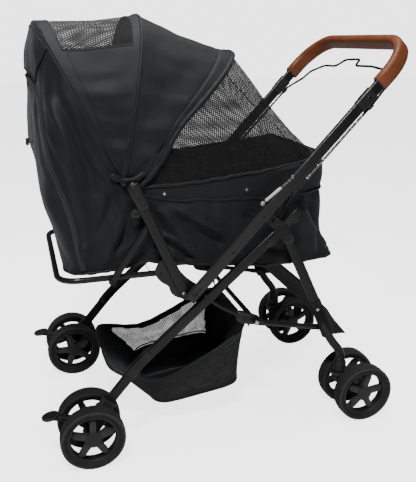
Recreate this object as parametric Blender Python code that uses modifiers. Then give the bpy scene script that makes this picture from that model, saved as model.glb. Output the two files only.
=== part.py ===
"""A pet stroller with a reversible handle, for Blender 4.5. Metres, +Z up.

X runs forward from the rear wheels to the casters, Y to the left, Z up from the ground.
Every position is written as seen in the side view: x from the rear axle, y from the
middle plane and z from the ground. The right side is -Y and the left side is +Y.
"""

import math

import bpy
import bmesh
from mathutils import Matrix, Vector

# Driving dimensions
AXLE_TO_MIDDLE = 0.3451      # rear axle to the middle of the whole length
WHEEL_RADIUS = 0.077
TYRE_WIDTH = 0.028
RIM_RADIUS = 0.0595
WHEELBASE = 0.705
REAR_TRACK = 0.463           # between the middles of the rear wheel pairs
REAR_PAIR = 0.0845           # between the two wheels of a rear pair
FRONT_TRACK = 0.4585
FRONT_PAIR = 0.093
CASTER_TRAIL = 0.047
WHEEL_STEPS = 24

FRAME_Y = 0.2317             # middle of the leg tubes
LEG_WIDTH = 0.025
LEG_THICK = 0.012
PLATE_Y = 0.2392             # lock plates, on the legs' outer faces
PIVOT_PLATE_Y = 0.2225       # pivot plates, on the legs' inner faces
HANDLE_Y = 0.248
HANDLE_WIDTH = 0.028
HANDLE_THICK = 0.0125
HANDLE_ANGLE = math.radians(46.4)
HANDLE_TOP = 0.770           # pivot to the grip's middle line
HANDLE_CORNER = 0.082
GRIP_START = 0.645
GRIP_WALL = 0.0036
FIT_GAP = 0.0005
ROD_DROP = 0.0205            # release rods below the handle tubes' middle line
ROD_RADIUS = 0.0018

HANDLE_PIVOT = (0.255, 0.397)
FRONT_LEG_PIVOT = (0.492, 0.506)
BRACE_PIVOT = (0.292, 0.372)
KNEE = (0.424, 0.288)
LOWER_BRACE_PIVOT = (0.603, 0.250)
HOOK_PIN = (0.455, 0.552)
PEDAL_PIVOT = (-0.022, 0.100)
HOOD_PIVOT = (0.108, 0.664)

CABIN_HALF = 0.200
CABIN_WALL = 0.004
BASKET_HALF = 0.165
HOOD_HALF = 0.2085
HOOD_SHEET = 0.0022
BOW_RADIUS = 0.0035
BOW_CURVE = 2.7              # roundness of a bow's corners
RIM_CURVE = 7.0              # squarer corners along the cabin's rim
HOOD_START = 0.030           # the sheets begin this far from the hood's pivot
# name: (angle in degrees, height from the pivot, half width)
BOWS = {
    "rear_bow": (115.4, 0.364, 0.184),
    "middle_bow": (78.2, 0.350, 0.192),
    "front_bow": (41.7, 0.3915, 0.200),
}

BLACK_STEEL = ((0.012, 0.012, 0.014), 0.38, 0.35)
BLACK_PLASTIC = ((0.016, 0.016, 0.018), 0.48, 0.0)
RUBBER = ((0.018, 0.018, 0.018), 0.85, 0.0)
BRIGHT_STEEL = ((0.55, 0.55, 0.56), 0.3, 1.0)
FABRIC = ((0.017, 0.019, 0.023), 0.95, 0.0)
MESH_FABRIC = ((0.10, 0.10, 0.105), 0.9, 0.0)
LEATHER = ((0.16, 0.045, 0.014), 0.55, 0.0)

SIDES = {"right": -1.0, "left": 1.0}
STROLLER = bpy.data.collections.new("pet_stroller")
CUTTERS = bpy.data.collections.new("cutters")


def at(x, y, z):
    """A place in the side view's measures, as the model's own coordinates."""
    return Vector((x - AXLE_TO_MIDDLE, y, z))


def clear_scene():
    for obj in list(bpy.data.objects):
        bpy.data.objects.remove(obj, do_unlink=True)
    for collection in (STROLLER, CUTTERS):
        bpy.context.scene.collection.children.link(collection)


def pivot(name, x, y, z, parent=None):
    """An empty on a joint's axis, which the moving pieces are parented to."""
    empty = bpy.data.objects.new(name, None)
    empty.empty_display_size = 0.02
    STROLLER.objects.link(empty)
    empty["world"] = at(x, y, z)
    empty.location = at(x, y, z)
    if parent:
        empty.parent = parent
        empty.location = at(x, y, z) - Vector(parent["world"])
    return empty


def give_material(obj, look):
    colour, roughness, metallic = look
    material = bpy.data.materials.new(obj.name + "_finish")
    material.use_nodes = True
    shader = material.node_tree.nodes["Principled BSDF"]
    shader.inputs["Base Color"].default_value = (*colour, 1.0)
    shader.inputs["Roughness"].default_value = roughness
    shader.inputs["Metallic"].default_value = metallic
    obj.data.materials.clear()
    obj.data.materials.append(material)


def name_part(obj, name, look, parent=None):
    """Finish a sub-part: its name, its material, smooth shading and what it moves with."""
    obj.name = name
    obj.data.name = name
    give_material(obj, look)
    obj.data.shade_smooth()
    obj.data.set_sharp_from_angle(angle=math.radians(35))
    if parent:
        obj.parent = parent
        obj.location = obj.location - Vector(parent["world"])
    return obj


def mesh_object(name, bm, location=(0, 0, 0), collection=STROLLER):
    mesh = bpy.data.meshes.new(name)
    bm.to_mesh(mesh)
    bm.free()
    obj = bpy.data.objects.new(name, mesh)
    obj.location = location
    collection.objects.link(obj)
    return obj


def evaluated_copy(obj):
    """The object's evaluated mesh as a new plain mesh object in the same place."""
    bpy.context.view_layer.update()
    graph = bpy.context.evaluated_depsgraph_get()
    mesh = bpy.data.meshes.new_from_object(obj.evaluated_get(graph))
    bm = bmesh.new()
    bm.from_mesh(mesh)
    bmesh.ops.remove_doubles(bm, verts=bm.verts, dist=1e-5)
    bmesh.ops.recalc_face_normals(bm, faces=bm.faces)
    bm.to_mesh(mesh)
    bm.free()
    fresh = bpy.data.objects.new(obj.name + "_solid", mesh)
    fresh.matrix_world = obj.matrix_world
    STROLLER.objects.link(fresh)
    bpy.data.objects.remove(obj, do_unlink=True)
    return fresh


def boolean(obj, others, operation):
    """Join the others to obj, or cut them from it, and keep one plain mesh."""
    for other in others:
        modifier = obj.modifiers.new(operation.lower(), "BOOLEAN")
        modifier.operation = operation
        modifier.object = other
        modifier.solver = "EXACT"
    result = evaluated_copy(obj)
    for other in others:
        bpy.data.objects.remove(other, do_unlink=True)
    return result


def round_edges(obj, width):
    modifier = obj.modifiers.new("rounded_edges", "BEVEL")
    modifier.width = width
    modifier.segments = 1
    modifier.limit_method = "ANGLE"
    modifier.angle_limit = math.radians(40)
    modifier.use_clamp_overlap = True
    return obj


def circle_points(x, z, radius, count=12, start=0.0, turn=2 * math.pi):
    steps = count if turn >= 2 * math.pi else count - 1
    return [
        (x + radius * math.cos(start + turn * i / steps),
         z + radius * math.sin(start + turn * i / steps))
        for i in range(count)
    ]


def plate(outline, y, thickness, holes=(), about=(0.0, 0.0), edge=0.0):
    """A flat outline in the side view, extruded along Y. Its origin is at about."""
    curve = bpy.data.curves.new("outline", "CURVE")
    curve.dimensions = "2D"
    curve.fill_mode = "BOTH"
    curve.extrude = thickness / 2
    for loop in (outline, *holes):
        spline = curve.splines.new("POLY")
        spline.points.add(len(loop) - 1)
        for point, (x, z) in zip(spline.points, loop):
            point.co = (x - about[0], z - about[1], 0.0, 1.0)
        spline.use_cyclic_u = True
    obj = bpy.data.objects.new("plate", curve)
    obj.rotation_euler = (math.pi / 2, 0, 0)
    obj.location = at(about[0], y, about[1])
    STROLLER.objects.link(obj)
    solid = evaluated_copy(obj)
    if edge:
        round_edges(solid, edge)
    return solid


def bar_outline(points, width, arc=5):
    """The outline of a bar of even width along a line of points, with round ends."""
    half = width / 2
    pts = [Vector(p) for p in points]
    left, right = [], []
    for i, point in enumerate(pts):
        before = (point - pts[i - 1]).normalized() if i else None
        after = (pts[i + 1] - point).normalized() if i + 1 < len(pts) else None
        along = ((before or after) + (after or before)).normalized()
        normal = Vector((-along.y, along.x))
        stretch = half / max(0.5, along.dot(after or before))
        left.append(point + normal * stretch)
        right.append(point - normal * stretch)
    end = (pts[-1] - pts[-2]).normalized()
    start = (pts[0] - pts[1]).normalized()
    outline = [tuple(p) for p in right[:-1]]
    outline += circle_points(*pts[-1], half, arc, math.atan2(end.y, end.x) - math.pi / 2, math.pi)
    outline += [tuple(p) for p in reversed(left[1:-1])]
    outline += circle_points(*pts[0], half, arc, math.atan2(start.y, start.x) - math.pi / 2, math.pi)
    return outline[1:] if len(pts) > 1 else outline


def bar(points, width, thickness, y, holes=(), about=(0.0, 0.0), edge=0.003):
    rings = [circle_points(*place, radius) for place, radius in holes]
    return plate(bar_outline(points, width), y, thickness, rings, about, edge)


def smooth_path(points, radius, steps=4):
    """The points with each inner corner replaced by an arc-like curve of this radius."""
    pts = [Vector(p) for p in points]
    path = [pts[0]]
    for before, corner, after in zip(pts, pts[1:], pts[2:]):
        reach_in = min(radius, (corner - before).length * 0.49)
        reach_out = min(radius, (after - corner).length * 0.49)
        start = corner + (before - corner).normalized() * reach_in
        end = corner + (after - corner).normalized() * reach_out
        for i in range(steps + 1):
            t = i / steps
            path.append(start * (1 - t) ** 2 + corner * 2 * t * (1 - t) + end * t * t)
    path.append(pts[-1])
    return path


def tube(points, radius, about=(0.0, 0.0, 0.0), resolution=2):
    """A round tube along points given as (x, y, z), with its origin at about."""
    curve = bpy.data.curves.new("tube", "CURVE")
    curve.dimensions = "3D"
    curve.bevel_depth = radius
    curve.bevel_resolution = resolution
    curve.use_fill_caps = True
    spline = curve.splines.new("POLY")
    spline.points.add(len(points) - 1)
    for point, place in zip(spline.points, points):
        point.co = (*(Vector(place) - Vector(about)), 1.0)
    obj = bpy.data.objects.new("tube", curve)
    obj.location = at(*about)
    STROLLER.objects.link(obj)
    return evaluated_copy(obj)


def cylinder(x, y, z, radius, length, axis="Y", sides=16, collection=STROLLER):
    """A cylinder about (x, y, z) along Y or Z."""
    bm = bmesh.new()
    bmesh.ops.create_cone(bm, cap_ends=True, segments=sides, radius1=radius,
                          radius2=radius, depth=length)
    if axis == "Y":
        bmesh.ops.rotate(bm, verts=bm.verts, matrix=Matrix.Rotation(math.pi / 2, 3, "X"))
    return mesh_object("cylinder", bm, at(x, y, z), collection)


def hole_cutter(x, y, z, radius, length, axis="Y"):
    cutter = cylinder(x, y, z, radius, length, axis, 12, CUTTERS)
    cutter.hide_render = True
    cutter.display_type = "WIRE"
    return cutter


def turned_ring(profile, steps=24):
    """A ring turned about the Y axis, from a closed profile of (radius, y) points."""
    bm = bmesh.new()
    verts = [bm.verts.new((radius, 0, height)) for radius, height in profile]
    for a, b in zip(verts, verts[1:] + verts[:1]):
        bm.edges.new((a, b))
    obj = mesh_object("ring", bm)
    screw = obj.modifiers.new("turned", "SCREW")
    screw.steps = steps
    screw.render_steps = steps
    screw.use_merge_vertices = True
    screw.merge_threshold = 0.00001
    solid = evaluated_copy(obj)
    solid.data.transform(Matrix.Rotation(math.pi / 2, 4, "X"))
    return solid


def tyre_mesh():
    half = TYRE_WIDTH / 2
    inner = RIM_RADIUS + 0.0004
    profile = [
        (WHEEL_RADIUS, half * 0.45), (WHEEL_RADIUS, -half * 0.45),
        (WHEEL_RADIUS - 0.005, -half), (inner, -half * 0.8),
        (inner, half * 0.8), (WHEEL_RADIUS - 0.005, half),
    ]
    return turned_ring(profile, WHEEL_STEPS).data


def rim_mesh():
    """A ring, five spokes and a hub with a blind axle hole, open towards +Y."""
    ring_half = 0.0105
    ring = turned_ring([
        (RIM_RADIUS, ring_half), (RIM_RADIUS, -ring_half),
        (RIM_RADIUS - 0.007, -ring_half), (RIM_RADIUS - 0.007, ring_half),
    ], WHEEL_STEPS)
    origin = AXLE_TO_MIDDLE
    spokes = []
    for i in range(5):
        angle = math.radians(90 + 72 * i)
        tip = (origin + 0.050 * math.cos(angle), 0.050 * math.sin(angle))
        spokes.append(bar([(origin, 0.0), tip], 0.013, 0.008, -0.002, edge=0.0))
    hub = cylinder(origin, 0.001, 0, 0.0195, 0.026, sides=16)
    rim = boolean(ring, [*spokes, hub], "UNION")
    return boolean(rim, [hole_cutter(origin, 0.006, 0, 0.0044, 0.021)], "DIFFERENCE").data


def add_wheel(name, tyre, rim, x, y, outward, parent):
    """A tyre and its rim. The rim's closed hub cap faces outward, +1 or -1 along Y."""
    turn = 0.0 if outward < 0 else math.pi
    for part, mesh, look in (("tyre", tyre, RUBBER), ("rim", rim, BLACK_PLASTIC)):
        obj = bpy.data.objects.new(f"{name}_{part}", mesh.copy())
        obj.rotation_euler = (0, 0, turn)
        obj.location = at(x, y, WHEEL_RADIUS)
        STROLLER.objects.link(obj)
        name_part(obj, f"{name}_{part}", look, parent)


def pair_sides(side, middle, spacing):
    """(label, y, outward) of the inner and outer wheel of a pair on this side."""
    return (
        ("inner", side * (middle - spacing / 2), -side),
        ("outer", side * (middle + spacing / 2), side),
    )


def build_rear_wheels(tyre, rim):
    for label, side in SIDES.items():
        for place, y, outward in pair_sides(side, REAR_TRACK / 2, REAR_PAIR):
            spin = pivot(f"rear_{label}_{place}_spin", 0, y, WHEEL_RADIUS)
            add_wheel(f"rear_wheel_{label}_{place}", tyre, rim, 0, y, outward, spin)


def build_rear_leg(label, side):
    y = side * FRAME_Y
    leg = bar([(0.051, 0.1465), (0.122, 0.228), (0.506, 0.558)], LEG_WIDTH, LEG_THICK, y,
              holes=[(BRACE_PIVOT, 0.0044)], edge=0.0045)
    name_part(leg, f"rear_leg_{label}", BLACK_STEEL)


def build_axle_housing(label, side):
    """The moulded block on a rear leg's foot, with two ears and the pedal's pin."""
    y = side * REAR_TRACK / 2
    block = bar([(0.0, WHEEL_RADIUS), (0.0320, 0.1212)], 0.036, 0.034, y, edge=0.0)
    ears = [
        bar([(0.002, 0.084), PEDAL_PIVOT], 0.014, 0.003, y + offset, edge=0.0)
        for offset in (-0.0150, 0.0150)
    ]
    pin = cylinder(PEDAL_PIVOT[0], y, PEDAL_PIVOT[1], 0.003, 0.0305, sides=12)
    housing = boolean(block, [*ears, pin], "UNION")
    hole = hole_cutter(0, y, WHEEL_RADIUS, 0.0045, 0.06)
    name_part(boolean(housing, [hole], "DIFFERENCE"), f"axle_housing_{label}", BLACK_PLASTIC)
    axle = cylinder(0, y, WHEEL_RADIUS, 0.004, REAR_PAIR + 0.006, sides=12)
    name_part(axle, f"rear_axle_{label}", BRIGHT_STEEL)


def build_pedal(label, side):
    """The brake pedal: an oval pad on an arm that turns on the housing's pin."""
    y = side * REAR_TRACK / 2
    hinge = pivot(f"pedal_{label}_hinge", PEDAL_PIVOT[0], y, PEDAL_PIVOT[1])
    arm = bar([PEDAL_PIVOT, (-0.052, 0.112), (-0.086, 0.121)], 0.0125, 0.018, y,
              holes=[(PEDAL_PIVOT, 0.0034)], about=PEDAL_PIVOT, edge=0.0)
    pad = cylinder(-0.091, y, 0.1245, 0.0175, 0.0075, "Z", sides=20)
    pad.data.transform(Matrix.Diagonal((1.15, 0.97, 1.0, 1.0)))
    pad.rotation_euler = (0, math.radians(-8), 0)
    name_part(boolean(arm, [pad], "UNION"), f"brake_pedal_{label}", BLACK_PLASTIC, hinge)


def build_side_frame(label, side):
    """Everything flat that is fixed to a rear leg: the hood's arm, the plates, the strut."""
    arm = bar([(0.239, 0.389), (0.121, 0.662)], 0.023, LEG_THICK, side * FRAME_Y, edge=0.0)
    boss = cylinder(HOOD_PIVOT[0], side * 0.2200, HOOD_PIVOT[1], 0.013, 0.014, sides=16)
    pin = cylinder(HOOD_PIVOT[0], side * 0.1965, HOOD_PIVOT[1], 0.003, 0.036, sides=12)
    name_part(boolean(arm, [boss, pin], "UNION"), f"canopy_arm_{label}", BLACK_STEEL)

    outline = [
        (0.164, 0.455), (0.170, 0.471), (0.182, 0.481), (0.197, 0.482), (0.212, 0.472),
        (0.232, 0.440), (0.266, 0.411), (0.303, 0.388), (0.304, 0.362), (0.287, 0.357),
        (0.248, 0.374), (0.214, 0.386), (0.204, 0.398), (0.202, 0.414), (0.180, 0.426),
    ]
    holes = [circle_points(*BRACE_PIVOT, 0.0044)]
    pivot_plate = plate(outline, side * PIVOT_PLATE_Y, 0.004, holes, edge=0.0008)
    pin = cylinder(HANDLE_PIVOT[0], side * 0.2395, HANDLE_PIVOT[1], 0.004, 0.034, sides=12)
    head = cylinder(HANDLE_PIVOT[0], side * 0.2570, HANDLE_PIVOT[1], 0.0075, 0.003)
    plate_with_pin = boolean(pivot_plate, [pin, head], "UNION")
    name_part(plate_with_pin, f"pivot_plate_{label}", BLACK_STEEL)

    outline = [
        (0.434, 0.498), (0.440, 0.490), (0.452, 0.494), (0.470, 0.509), (0.481, 0.497),
        (0.492, 0.4925), (0.504, 0.500), (0.504, 0.513), (0.490, 0.529), (0.508, 0.548),
        (0.508, 0.559), (0.497, 0.563), (0.480, 0.548), (0.466, 0.560), (0.455, 0.564),
        (0.430, 0.583), (0.417, 0.581), (0.416, 0.567), (0.446, 0.541), (0.456, 0.525),
    ]
    holes = [circle_points(*FRONT_LEG_PIVOT, 0.0034)]
    lock = plate(outline, side * PLATE_Y, 0.002, holes, edge=0.0)
    stud = cylinder(HOOK_PIN[0], side * 0.2455, HOOK_PIN[1], 0.0035, 0.013, sides=12)
    name_part(boolean(lock, [stud], "UNION"), f"lock_plate_{label}", BLACK_STEEL)

    strut = bar([(0.155, 0.561), (0.069, 0.438)], 0.016, 0.006, side * 0.2215, edge=0.0012)
    name_part(strut, f"strut_{label}", BLACK_STEEL)


def build_rear_loop():
    """The round tube that runs level round the back of the cabin."""
    half, level, back, corner = 0.210, 0.4445, -0.049, 0.055
    route = [(0.186, -half, level), (back, -half, level),
             (back, half, level), (0.186, half, level)]
    loop = tube(smooth_path(route, corner, 6), 0.007, resolution=2)
    name_part(loop, "rear_loop", BLACK_STEEL)


def cabin_outline(inset):
    """The cabin's side outline, drawn in by inset below its rim."""
    floor = [(0.004, 0.4545), (0.160, 0.470), (0.280, 0.453), (0.440, 0.435), (0.616, 0.434)]
    lift = [(x, z + inset) for x, z in floor]
    lift[0] = (lift[0][0] + inset * 0.4, lift[0][1])
    lift[-1] = (lift[-1][0] - inset, lift[-1][1])
    front = [(0.611 - inset, 0.560), (0.597 - inset, 0.702)]
    rear = [(-0.066 + inset, 0.652), (-0.064 + inset, 0.580), (-0.046 + inset, 0.500)]
    rim = [(0.360, 0.660), (0.115, 0.652)]
    if inset:
        high = 0.80
        return [*lift, front[0], (front[1][0], 0.702), (front[1][0], high),
                (rear[0][0], high), *rear]
    return [*lift, *front, *rim, *rear]


def build_cabin():
    """The fabric tub, open on top, and the board that lies in it."""
    tub = plate(cabin_outline(0.0), 0, 2 * CABIN_HALF)
    inside = plate(cabin_outline(CABIN_WALL), 0, 2 * (CABIN_HALF - CABIN_WALL))
    name_part(boolean(tub, [inside], "DIFFERENCE"), "cabin_tub", FABRIC)
    board = [(0.012, 0.4765), (0.590, 0.4765), (0.590, 0.4825), (0.012, 0.4825)]
    name_part(plate(board, 0, 0.376, edge=0.0015), "floor_board", BLACK_PLASTIC)


def basket_outline(inset):
    bottom = [(0.168 + inset * 0.3, 0.062 + inset), (0.410 - inset, 0.092 + inset)]
    if inset:
        return [*bottom, (0.430 - inset, 0.250), (0.430 - inset, 0.400),
                (0.060 + inset * 1.3, 0.400), (0.060 + inset * 1.3, 0.172)]
    return [*bottom, (0.430, 0.250), (0.190, 0.143), (0.060, 0.172)]


def build_basket():
    basket = plate(basket_outline(0.0), 0, 2 * BASKET_HALF)
    inside = plate(basket_outline(0.003), 0, 2 * (BASKET_HALF - 0.003))
    name_part(boolean(basket, [inside], "DIFFERENCE"), "basket", FABRIC)


def fan_point(angle, height, half, turn, roundness):
    """A point on a U in the plane that leans at angle about the hood's pivot line.

    turn runs from 0 at the right foot of the U to pi at its left foot.
    """
    reach = height * abs(math.sin(turn)) ** (2 / roundness)
    y = -half * math.copysign(abs(math.cos(turn)) ** (2 / roundness), math.cos(turn))
    lean = math.radians(angle)
    return (HOOD_PIVOT[0] + reach * math.cos(lean), y, HOOD_PIVOT[1] + reach * math.sin(lean))


def foot_turn(height, roundness, start):
    """The turn at which a U of this height is start away from the pivot line."""
    return math.asin(min(1.0, start / height) ** (roundness / 2))


def even_turns(height, half, roundness, start, count):
    """Turns from foot to foot, spaced evenly along the U's own length."""
    first = foot_turn(height, roundness, start)
    fine = [first + (math.pi - 2 * first) * i / 400 for i in range(401)]
    places = [Vector(fan_point(0.0, height, half, turn, roundness)) for turn in fine]
    lengths = [0.0]
    for a, b in zip(places, places[1:]):
        lengths.append(lengths[-1] + (b - a).length)
    turns = []
    k = 0
    for i in range(count + 1):
        goal = lengths[-1] * i / count
        while k < 400 and lengths[k + 1] < goal:
            k += 1
        turns.append(fine[min(k, 400)] if i < count else fine[-1])
    return turns


def build_bow(name, parent=None):
    angle, height, half = BOWS[name]
    turns = even_turns(height, half, BOW_CURVE, 0.010, 22)
    points = [fan_point(angle, height, half, turn, BOW_CURVE) for turn in turns]
    origin = (HOOD_PIVOT[0], 0.0, HOOD_PIVOT[1])
    name_part(tube(points, BOW_RADIUS, origin, 1), name, BLACK_STEEL, parent)


def build_sheet(name, near, far, look, parent=None, columns=20, rows=2):
    """A fabric sheet lofted between two Us, each (angle, height, half, roundness)."""
    bm = bmesh.new()
    origin = Vector((HOOD_PIVOT[0], 0.0, HOOD_PIVOT[1]))
    edges = []
    for angle, height, half, roundness in (near, far):
        turns = even_turns(height, half, roundness, HOOD_START, columns)
        edges.append([Vector(fan_point(angle, height, half, t, roundness)) for t in turns])
    grid = [
        [bm.verts.new(a.lerp(b, row / rows) - origin) for a, b in zip(*edges)]
        for row in range(rows + 1)
    ]
    for low, high in zip(grid, grid[1:]):
        for i in range(columns):
            bm.faces.new((low[i], low[i + 1], high[i + 1], high[i]))
    sheet = mesh_object("sheet", bm, at(*origin))
    thicken = sheet.modifiers.new("cloth_thickness", "SOLIDIFY")
    thicken.thickness = HOOD_SHEET
    thicken.offset = 0.0
    thicken.use_even_offset = False
    name_part(evaluated_copy(sheet), name, look, parent)


def build_hood(middle, front):
    """Three bows, the hood between them, the rear wall and the mesh front."""
    build_bow("rear_bow")
    build_bow("middle_bow", middle)
    build_bow("front_bow", front)
    edge = 1.6          # degrees that each sheet stops short of its neighbour
    outer = {name: (angle, height + 0.0085) for name, (angle, height, _) in BOWS.items()}

    def hem(name, shift):
        angle, height = outer[name]
        return (angle + shift, height, HOOD_HALF, BOW_CURVE)

    rear_rim = (179.0, 0.1715, CABIN_HALF, RIM_CURVE)
    front_rim = (7.0, 0.489, CABIN_HALF, RIM_CURVE)
    build_sheet("rear_wall", hem("rear_bow", edge), rear_rim, FABRIC)
    build_sheet("hood_rear_panel", hem("rear_bow", -edge), hem("middle_bow", edge), FABRIC)
    build_sheet("hood_front_panel", hem("middle_bow", -edge), hem("front_bow", edge),
                FABRIC, middle)
    build_sheet("mesh_front", hem("front_bow", -edge), front_rim, MESH_FABRIC, front)


def handle_frame():
    """Local X along +Y, local Y up the handle and local Z out of its underside."""
    lean = Vector((math.cos(HANDLE_ANGLE), 0, math.sin(HANDLE_ANGLE)))
    across = Vector((0, 1, 0))
    under = across.cross(lean)
    turn = Matrix((across, lean, under)).transposed().to_4x4()
    place = at(HANDLE_PIVOT[0], 0, HANDLE_PIVOT[1])
    return Matrix.Translation(place), turn


def stadium(width, thickness, count=4):
    """A flat-oval section: (in-plane, out-of-plane) points, width out of plane."""
    radius = thickness / 2
    reach = width / 2 - radius
    top = circle_points(0.0, reach, radius, count, 0.0, math.pi)
    bottom = circle_points(0.0, -reach, radius, count, math.pi, math.pi)
    return [*top, *bottom]


def handle_path(first, steps=7):
    """The handle's middle line as (y, distance up the handle), from right to left."""
    path = [(-HANDLE_Y, first)]
    middle = (HANDLE_Y - HANDLE_CORNER, HANDLE_TOP - HANDLE_CORNER)
    arc = circle_points(-middle[0], middle[1], HANDLE_CORNER, steps, math.pi, -math.pi / 2)
    path += arc
    path += [(-y, up) for y, up in reversed(arc)]
    path.append((HANDLE_Y, first))
    return path


def swept_oval(path, section, caps):
    """A flat-oval section swept along a flat path in the handle's own frame."""
    curves = []
    for loop, cyclic in ((section, True), (path, False)):
        curve = bpy.data.curves.new("sweep", "CURVE")
        curve.dimensions = "2D"
        curve.fill_mode = "NONE"
        spline = curve.splines.new("POLY")
        spline.points.add(len(loop) - 1)
        for point, (x, y) in zip(spline.points, loop):
            point.co = (x, y, 0.0, 1.0)
        spline.use_cyclic_u = cyclic
        obj = bpy.data.objects.new("sweep", curve)
        STROLLER.objects.link(obj)
        curves.append(obj)
    profile, route = curves
    route.data.bevel_mode = "OBJECT"
    route.data.bevel_object = profile
    route.data.use_fill_caps = caps
    solid = evaluated_copy(route)
    bpy.data.objects.remove(profile, do_unlink=True)
    return solid


def set_in_handle(obj):
    """Turn a piece made in the handle's own frame into place, origin on the pivot."""
    move, turn = handle_frame()
    obj.data.transform(turn)
    obj.matrix_world = move
    obj.location = move.to_translation()
    return obj


def build_handle(handle):
    oval = stadium(HANDLE_WIDTH, HANDLE_THICK)
    frame_tube = swept_oval(handle_path(-0.018), oval, True)
    holes = []
    for side in SIDES.values():
        bm = bmesh.new()
        bmesh.ops.create_cone(bm, cap_ends=True, segments=16, radius1=0.0044,
                              radius2=0.0044, depth=0.03)
        bmesh.ops.rotate(bm, verts=bm.verts, matrix=Matrix.Rotation(math.pi / 2, 3, "Y"))
        cutter = mesh_object("hole", bm, (side * HANDLE_Y, 0, 0), CUTTERS)
        cutter.hide_render = True
        cutter.display_type = "WIRE"
        holes.append(cutter)
    frame_tube = boolean(frame_tube, holes, "DIFFERENCE")
    name_part(set_in_handle(frame_tube), "handle_tube", BLACK_STEEL, handle)

    wall = GRIP_WALL
    inner = stadium(HANDLE_WIDTH + 2 * FIT_GAP, HANDLE_THICK + 2 * FIT_GAP)
    outer = stadium(HANDLE_WIDTH + 2 * (FIT_GAP + wall), HANDLE_THICK + 2 * (FIT_GAP + wall))
    sleeve = swept_oval(handle_path(GRIP_START), outer, True)
    core = swept_oval(handle_path(GRIP_START - 0.01), inner, True)
    name_part(set_in_handle(boolean(sleeve, [core], "DIFFERENCE")), "handle_grip",
              LEATHER, handle)


def clamp_solid(side):
    """A guide clamp round the handle tube, with a tab that the release rod runs through."""
    up = 0.603
    block = swept_oval([(side * HANDLE_Y, up - 0.016), (side * HANDLE_Y, up + 0.016)],
                       stadium(HANDLE_WIDTH + 0.006, HANDLE_THICK + 0.006), True)
    bm = bmesh.new()
    bmesh.ops.create_cube(bm, size=1.0)
    bmesh.ops.scale(bm, verts=bm.verts, vec=(0.008, 0.014, 0.012))
    tab = mesh_object("tab", bm, (side * HANDLE_Y, up - 0.006, 0.0200))
    core = swept_oval([(side * HANDLE_Y, up - 0.03), (side * HANDLE_Y, up + 0.03)],
                      stadium(HANDLE_WIDTH + 0.001, HANDLE_THICK + 0.001), True)
    bm = bmesh.new()
    bmesh.ops.create_cone(bm, cap_ends=True, segments=12, radius1=0.0026,
                          radius2=0.0026, depth=0.05)
    bmesh.ops.rotate(bm, verts=bm.verts, matrix=Matrix.Rotation(math.pi / 2, 3, "X"))
    rod_hole = mesh_object("rod_hole", bm, (side * HANDLE_Y, up - 0.006, ROD_DROP))
    return boolean(boolean(block, [tab], "UNION"), [core, rod_hole], "DIFFERENCE")


def build_release(handle, release):
    """The bent release wire, one piece from hook to hook, and its guide clamps."""
    for label, side in SIDES.items():
        name_part(set_in_handle(clamp_solid(side)), f"rod_guide_{label}", BLACK_PLASTIC, handle)

    rod = HANDLE_Y
    across = [
        (rod, 0.640, ROD_DROP), (0.226, 0.682, 0.024), (0.170, 0.700, 0.026),
        (0.098, 0.708, 0.028), (0.072, 0.733, 0.028), (0.004, 0.738, 0.030),
        (-0.002, 0.716, 0.031), (-0.085, 0.718, 0.031), (-0.170, 0.708, 0.028),
        (-0.226, 0.684, 0.024), (-rod, 0.640, ROD_DROP),
    ]
    hook = [(0.266, 0.0335), (0.285, 0.0290), (0.315, ROD_DROP), (0.330, ROD_DROP)]
    left_end = [(rod, up, drop) for up, drop in hook]
    right_end = [(-rod, up, drop) for up, drop in reversed(hook)]
    wire = tube(smooth_path([*left_end, *across, *right_end], 0.012, 3), ROD_RADIUS,
                resolution=1)
    name_part(set_in_handle(wire), "release_wire", BRIGHT_STEEL, release)


def build_front_leg(label, side, legs):
    """A flat-oval tube down to the footrest, then a round tube into the caster's collar."""
    y = side * FRAME_Y
    flat = bar([FRONT_LEG_PIVOT, (0.519, 0.450), (0.578, 0.324), (0.606, 0.248)],
               LEG_WIDTH, LEG_THICK, y, about=FRONT_LEG_PIVOT)
    route = [(0.586, y, 0.302), (0.622, y, 0.222), (0.6585, y, 0.178), (0.6585, y, 0.1505)]
    round_tube = tube(smooth_path(route, 0.022, 4), 0.0085, resolution=2)
    pins = [
        cylinder(FRONT_LEG_PIVOT[0], side * 0.2370, FRONT_LEG_PIVOT[1], 0.003, 0.010, sides=12),
        cylinder(LOWER_BRACE_PIVOT[0], side * 0.2190, LOWER_BRACE_PIVOT[1], 0.004, 0.020,
                 sides=12),
    ]
    leg = boolean(flat, [round_tube, *pins], "UNION")
    name_part(leg, f"front_leg_{label}", BLACK_STEEL, legs)

    x = WHEELBASE - CASTER_TRAIL
    y = side * FRONT_TRACK / 2
    collar = cylinder(x, y, 0.1390, 0.0165, 0.022, "Z", sides=16)
    cutter = hole_cutter(x, y, 0.1290, 0.0062, 0.02, "Z")
    name_part(boolean(collar, [cutter], "DIFFERENCE"), f"caster_collar_{label}",
              BLACK_PLASTIC, legs)


def build_footrest(legs):
    """The curved board between the front legs."""
    upper = [(0.598, 0.3265), (0.620, 0.2950), (0.643, 0.2640), (0.668, 0.2300)]
    lower = [(0.661, 0.2270), (0.637, 0.2450), (0.614, 0.2780), (0.596, 0.3180)]
    board = plate([*upper, *lower], 0, 2 * 0.2420, about=FRONT_LEG_PIVOT, edge=0.001)
    name_part(board, "footrest", BLACK_PLASTIC, legs)


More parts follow.
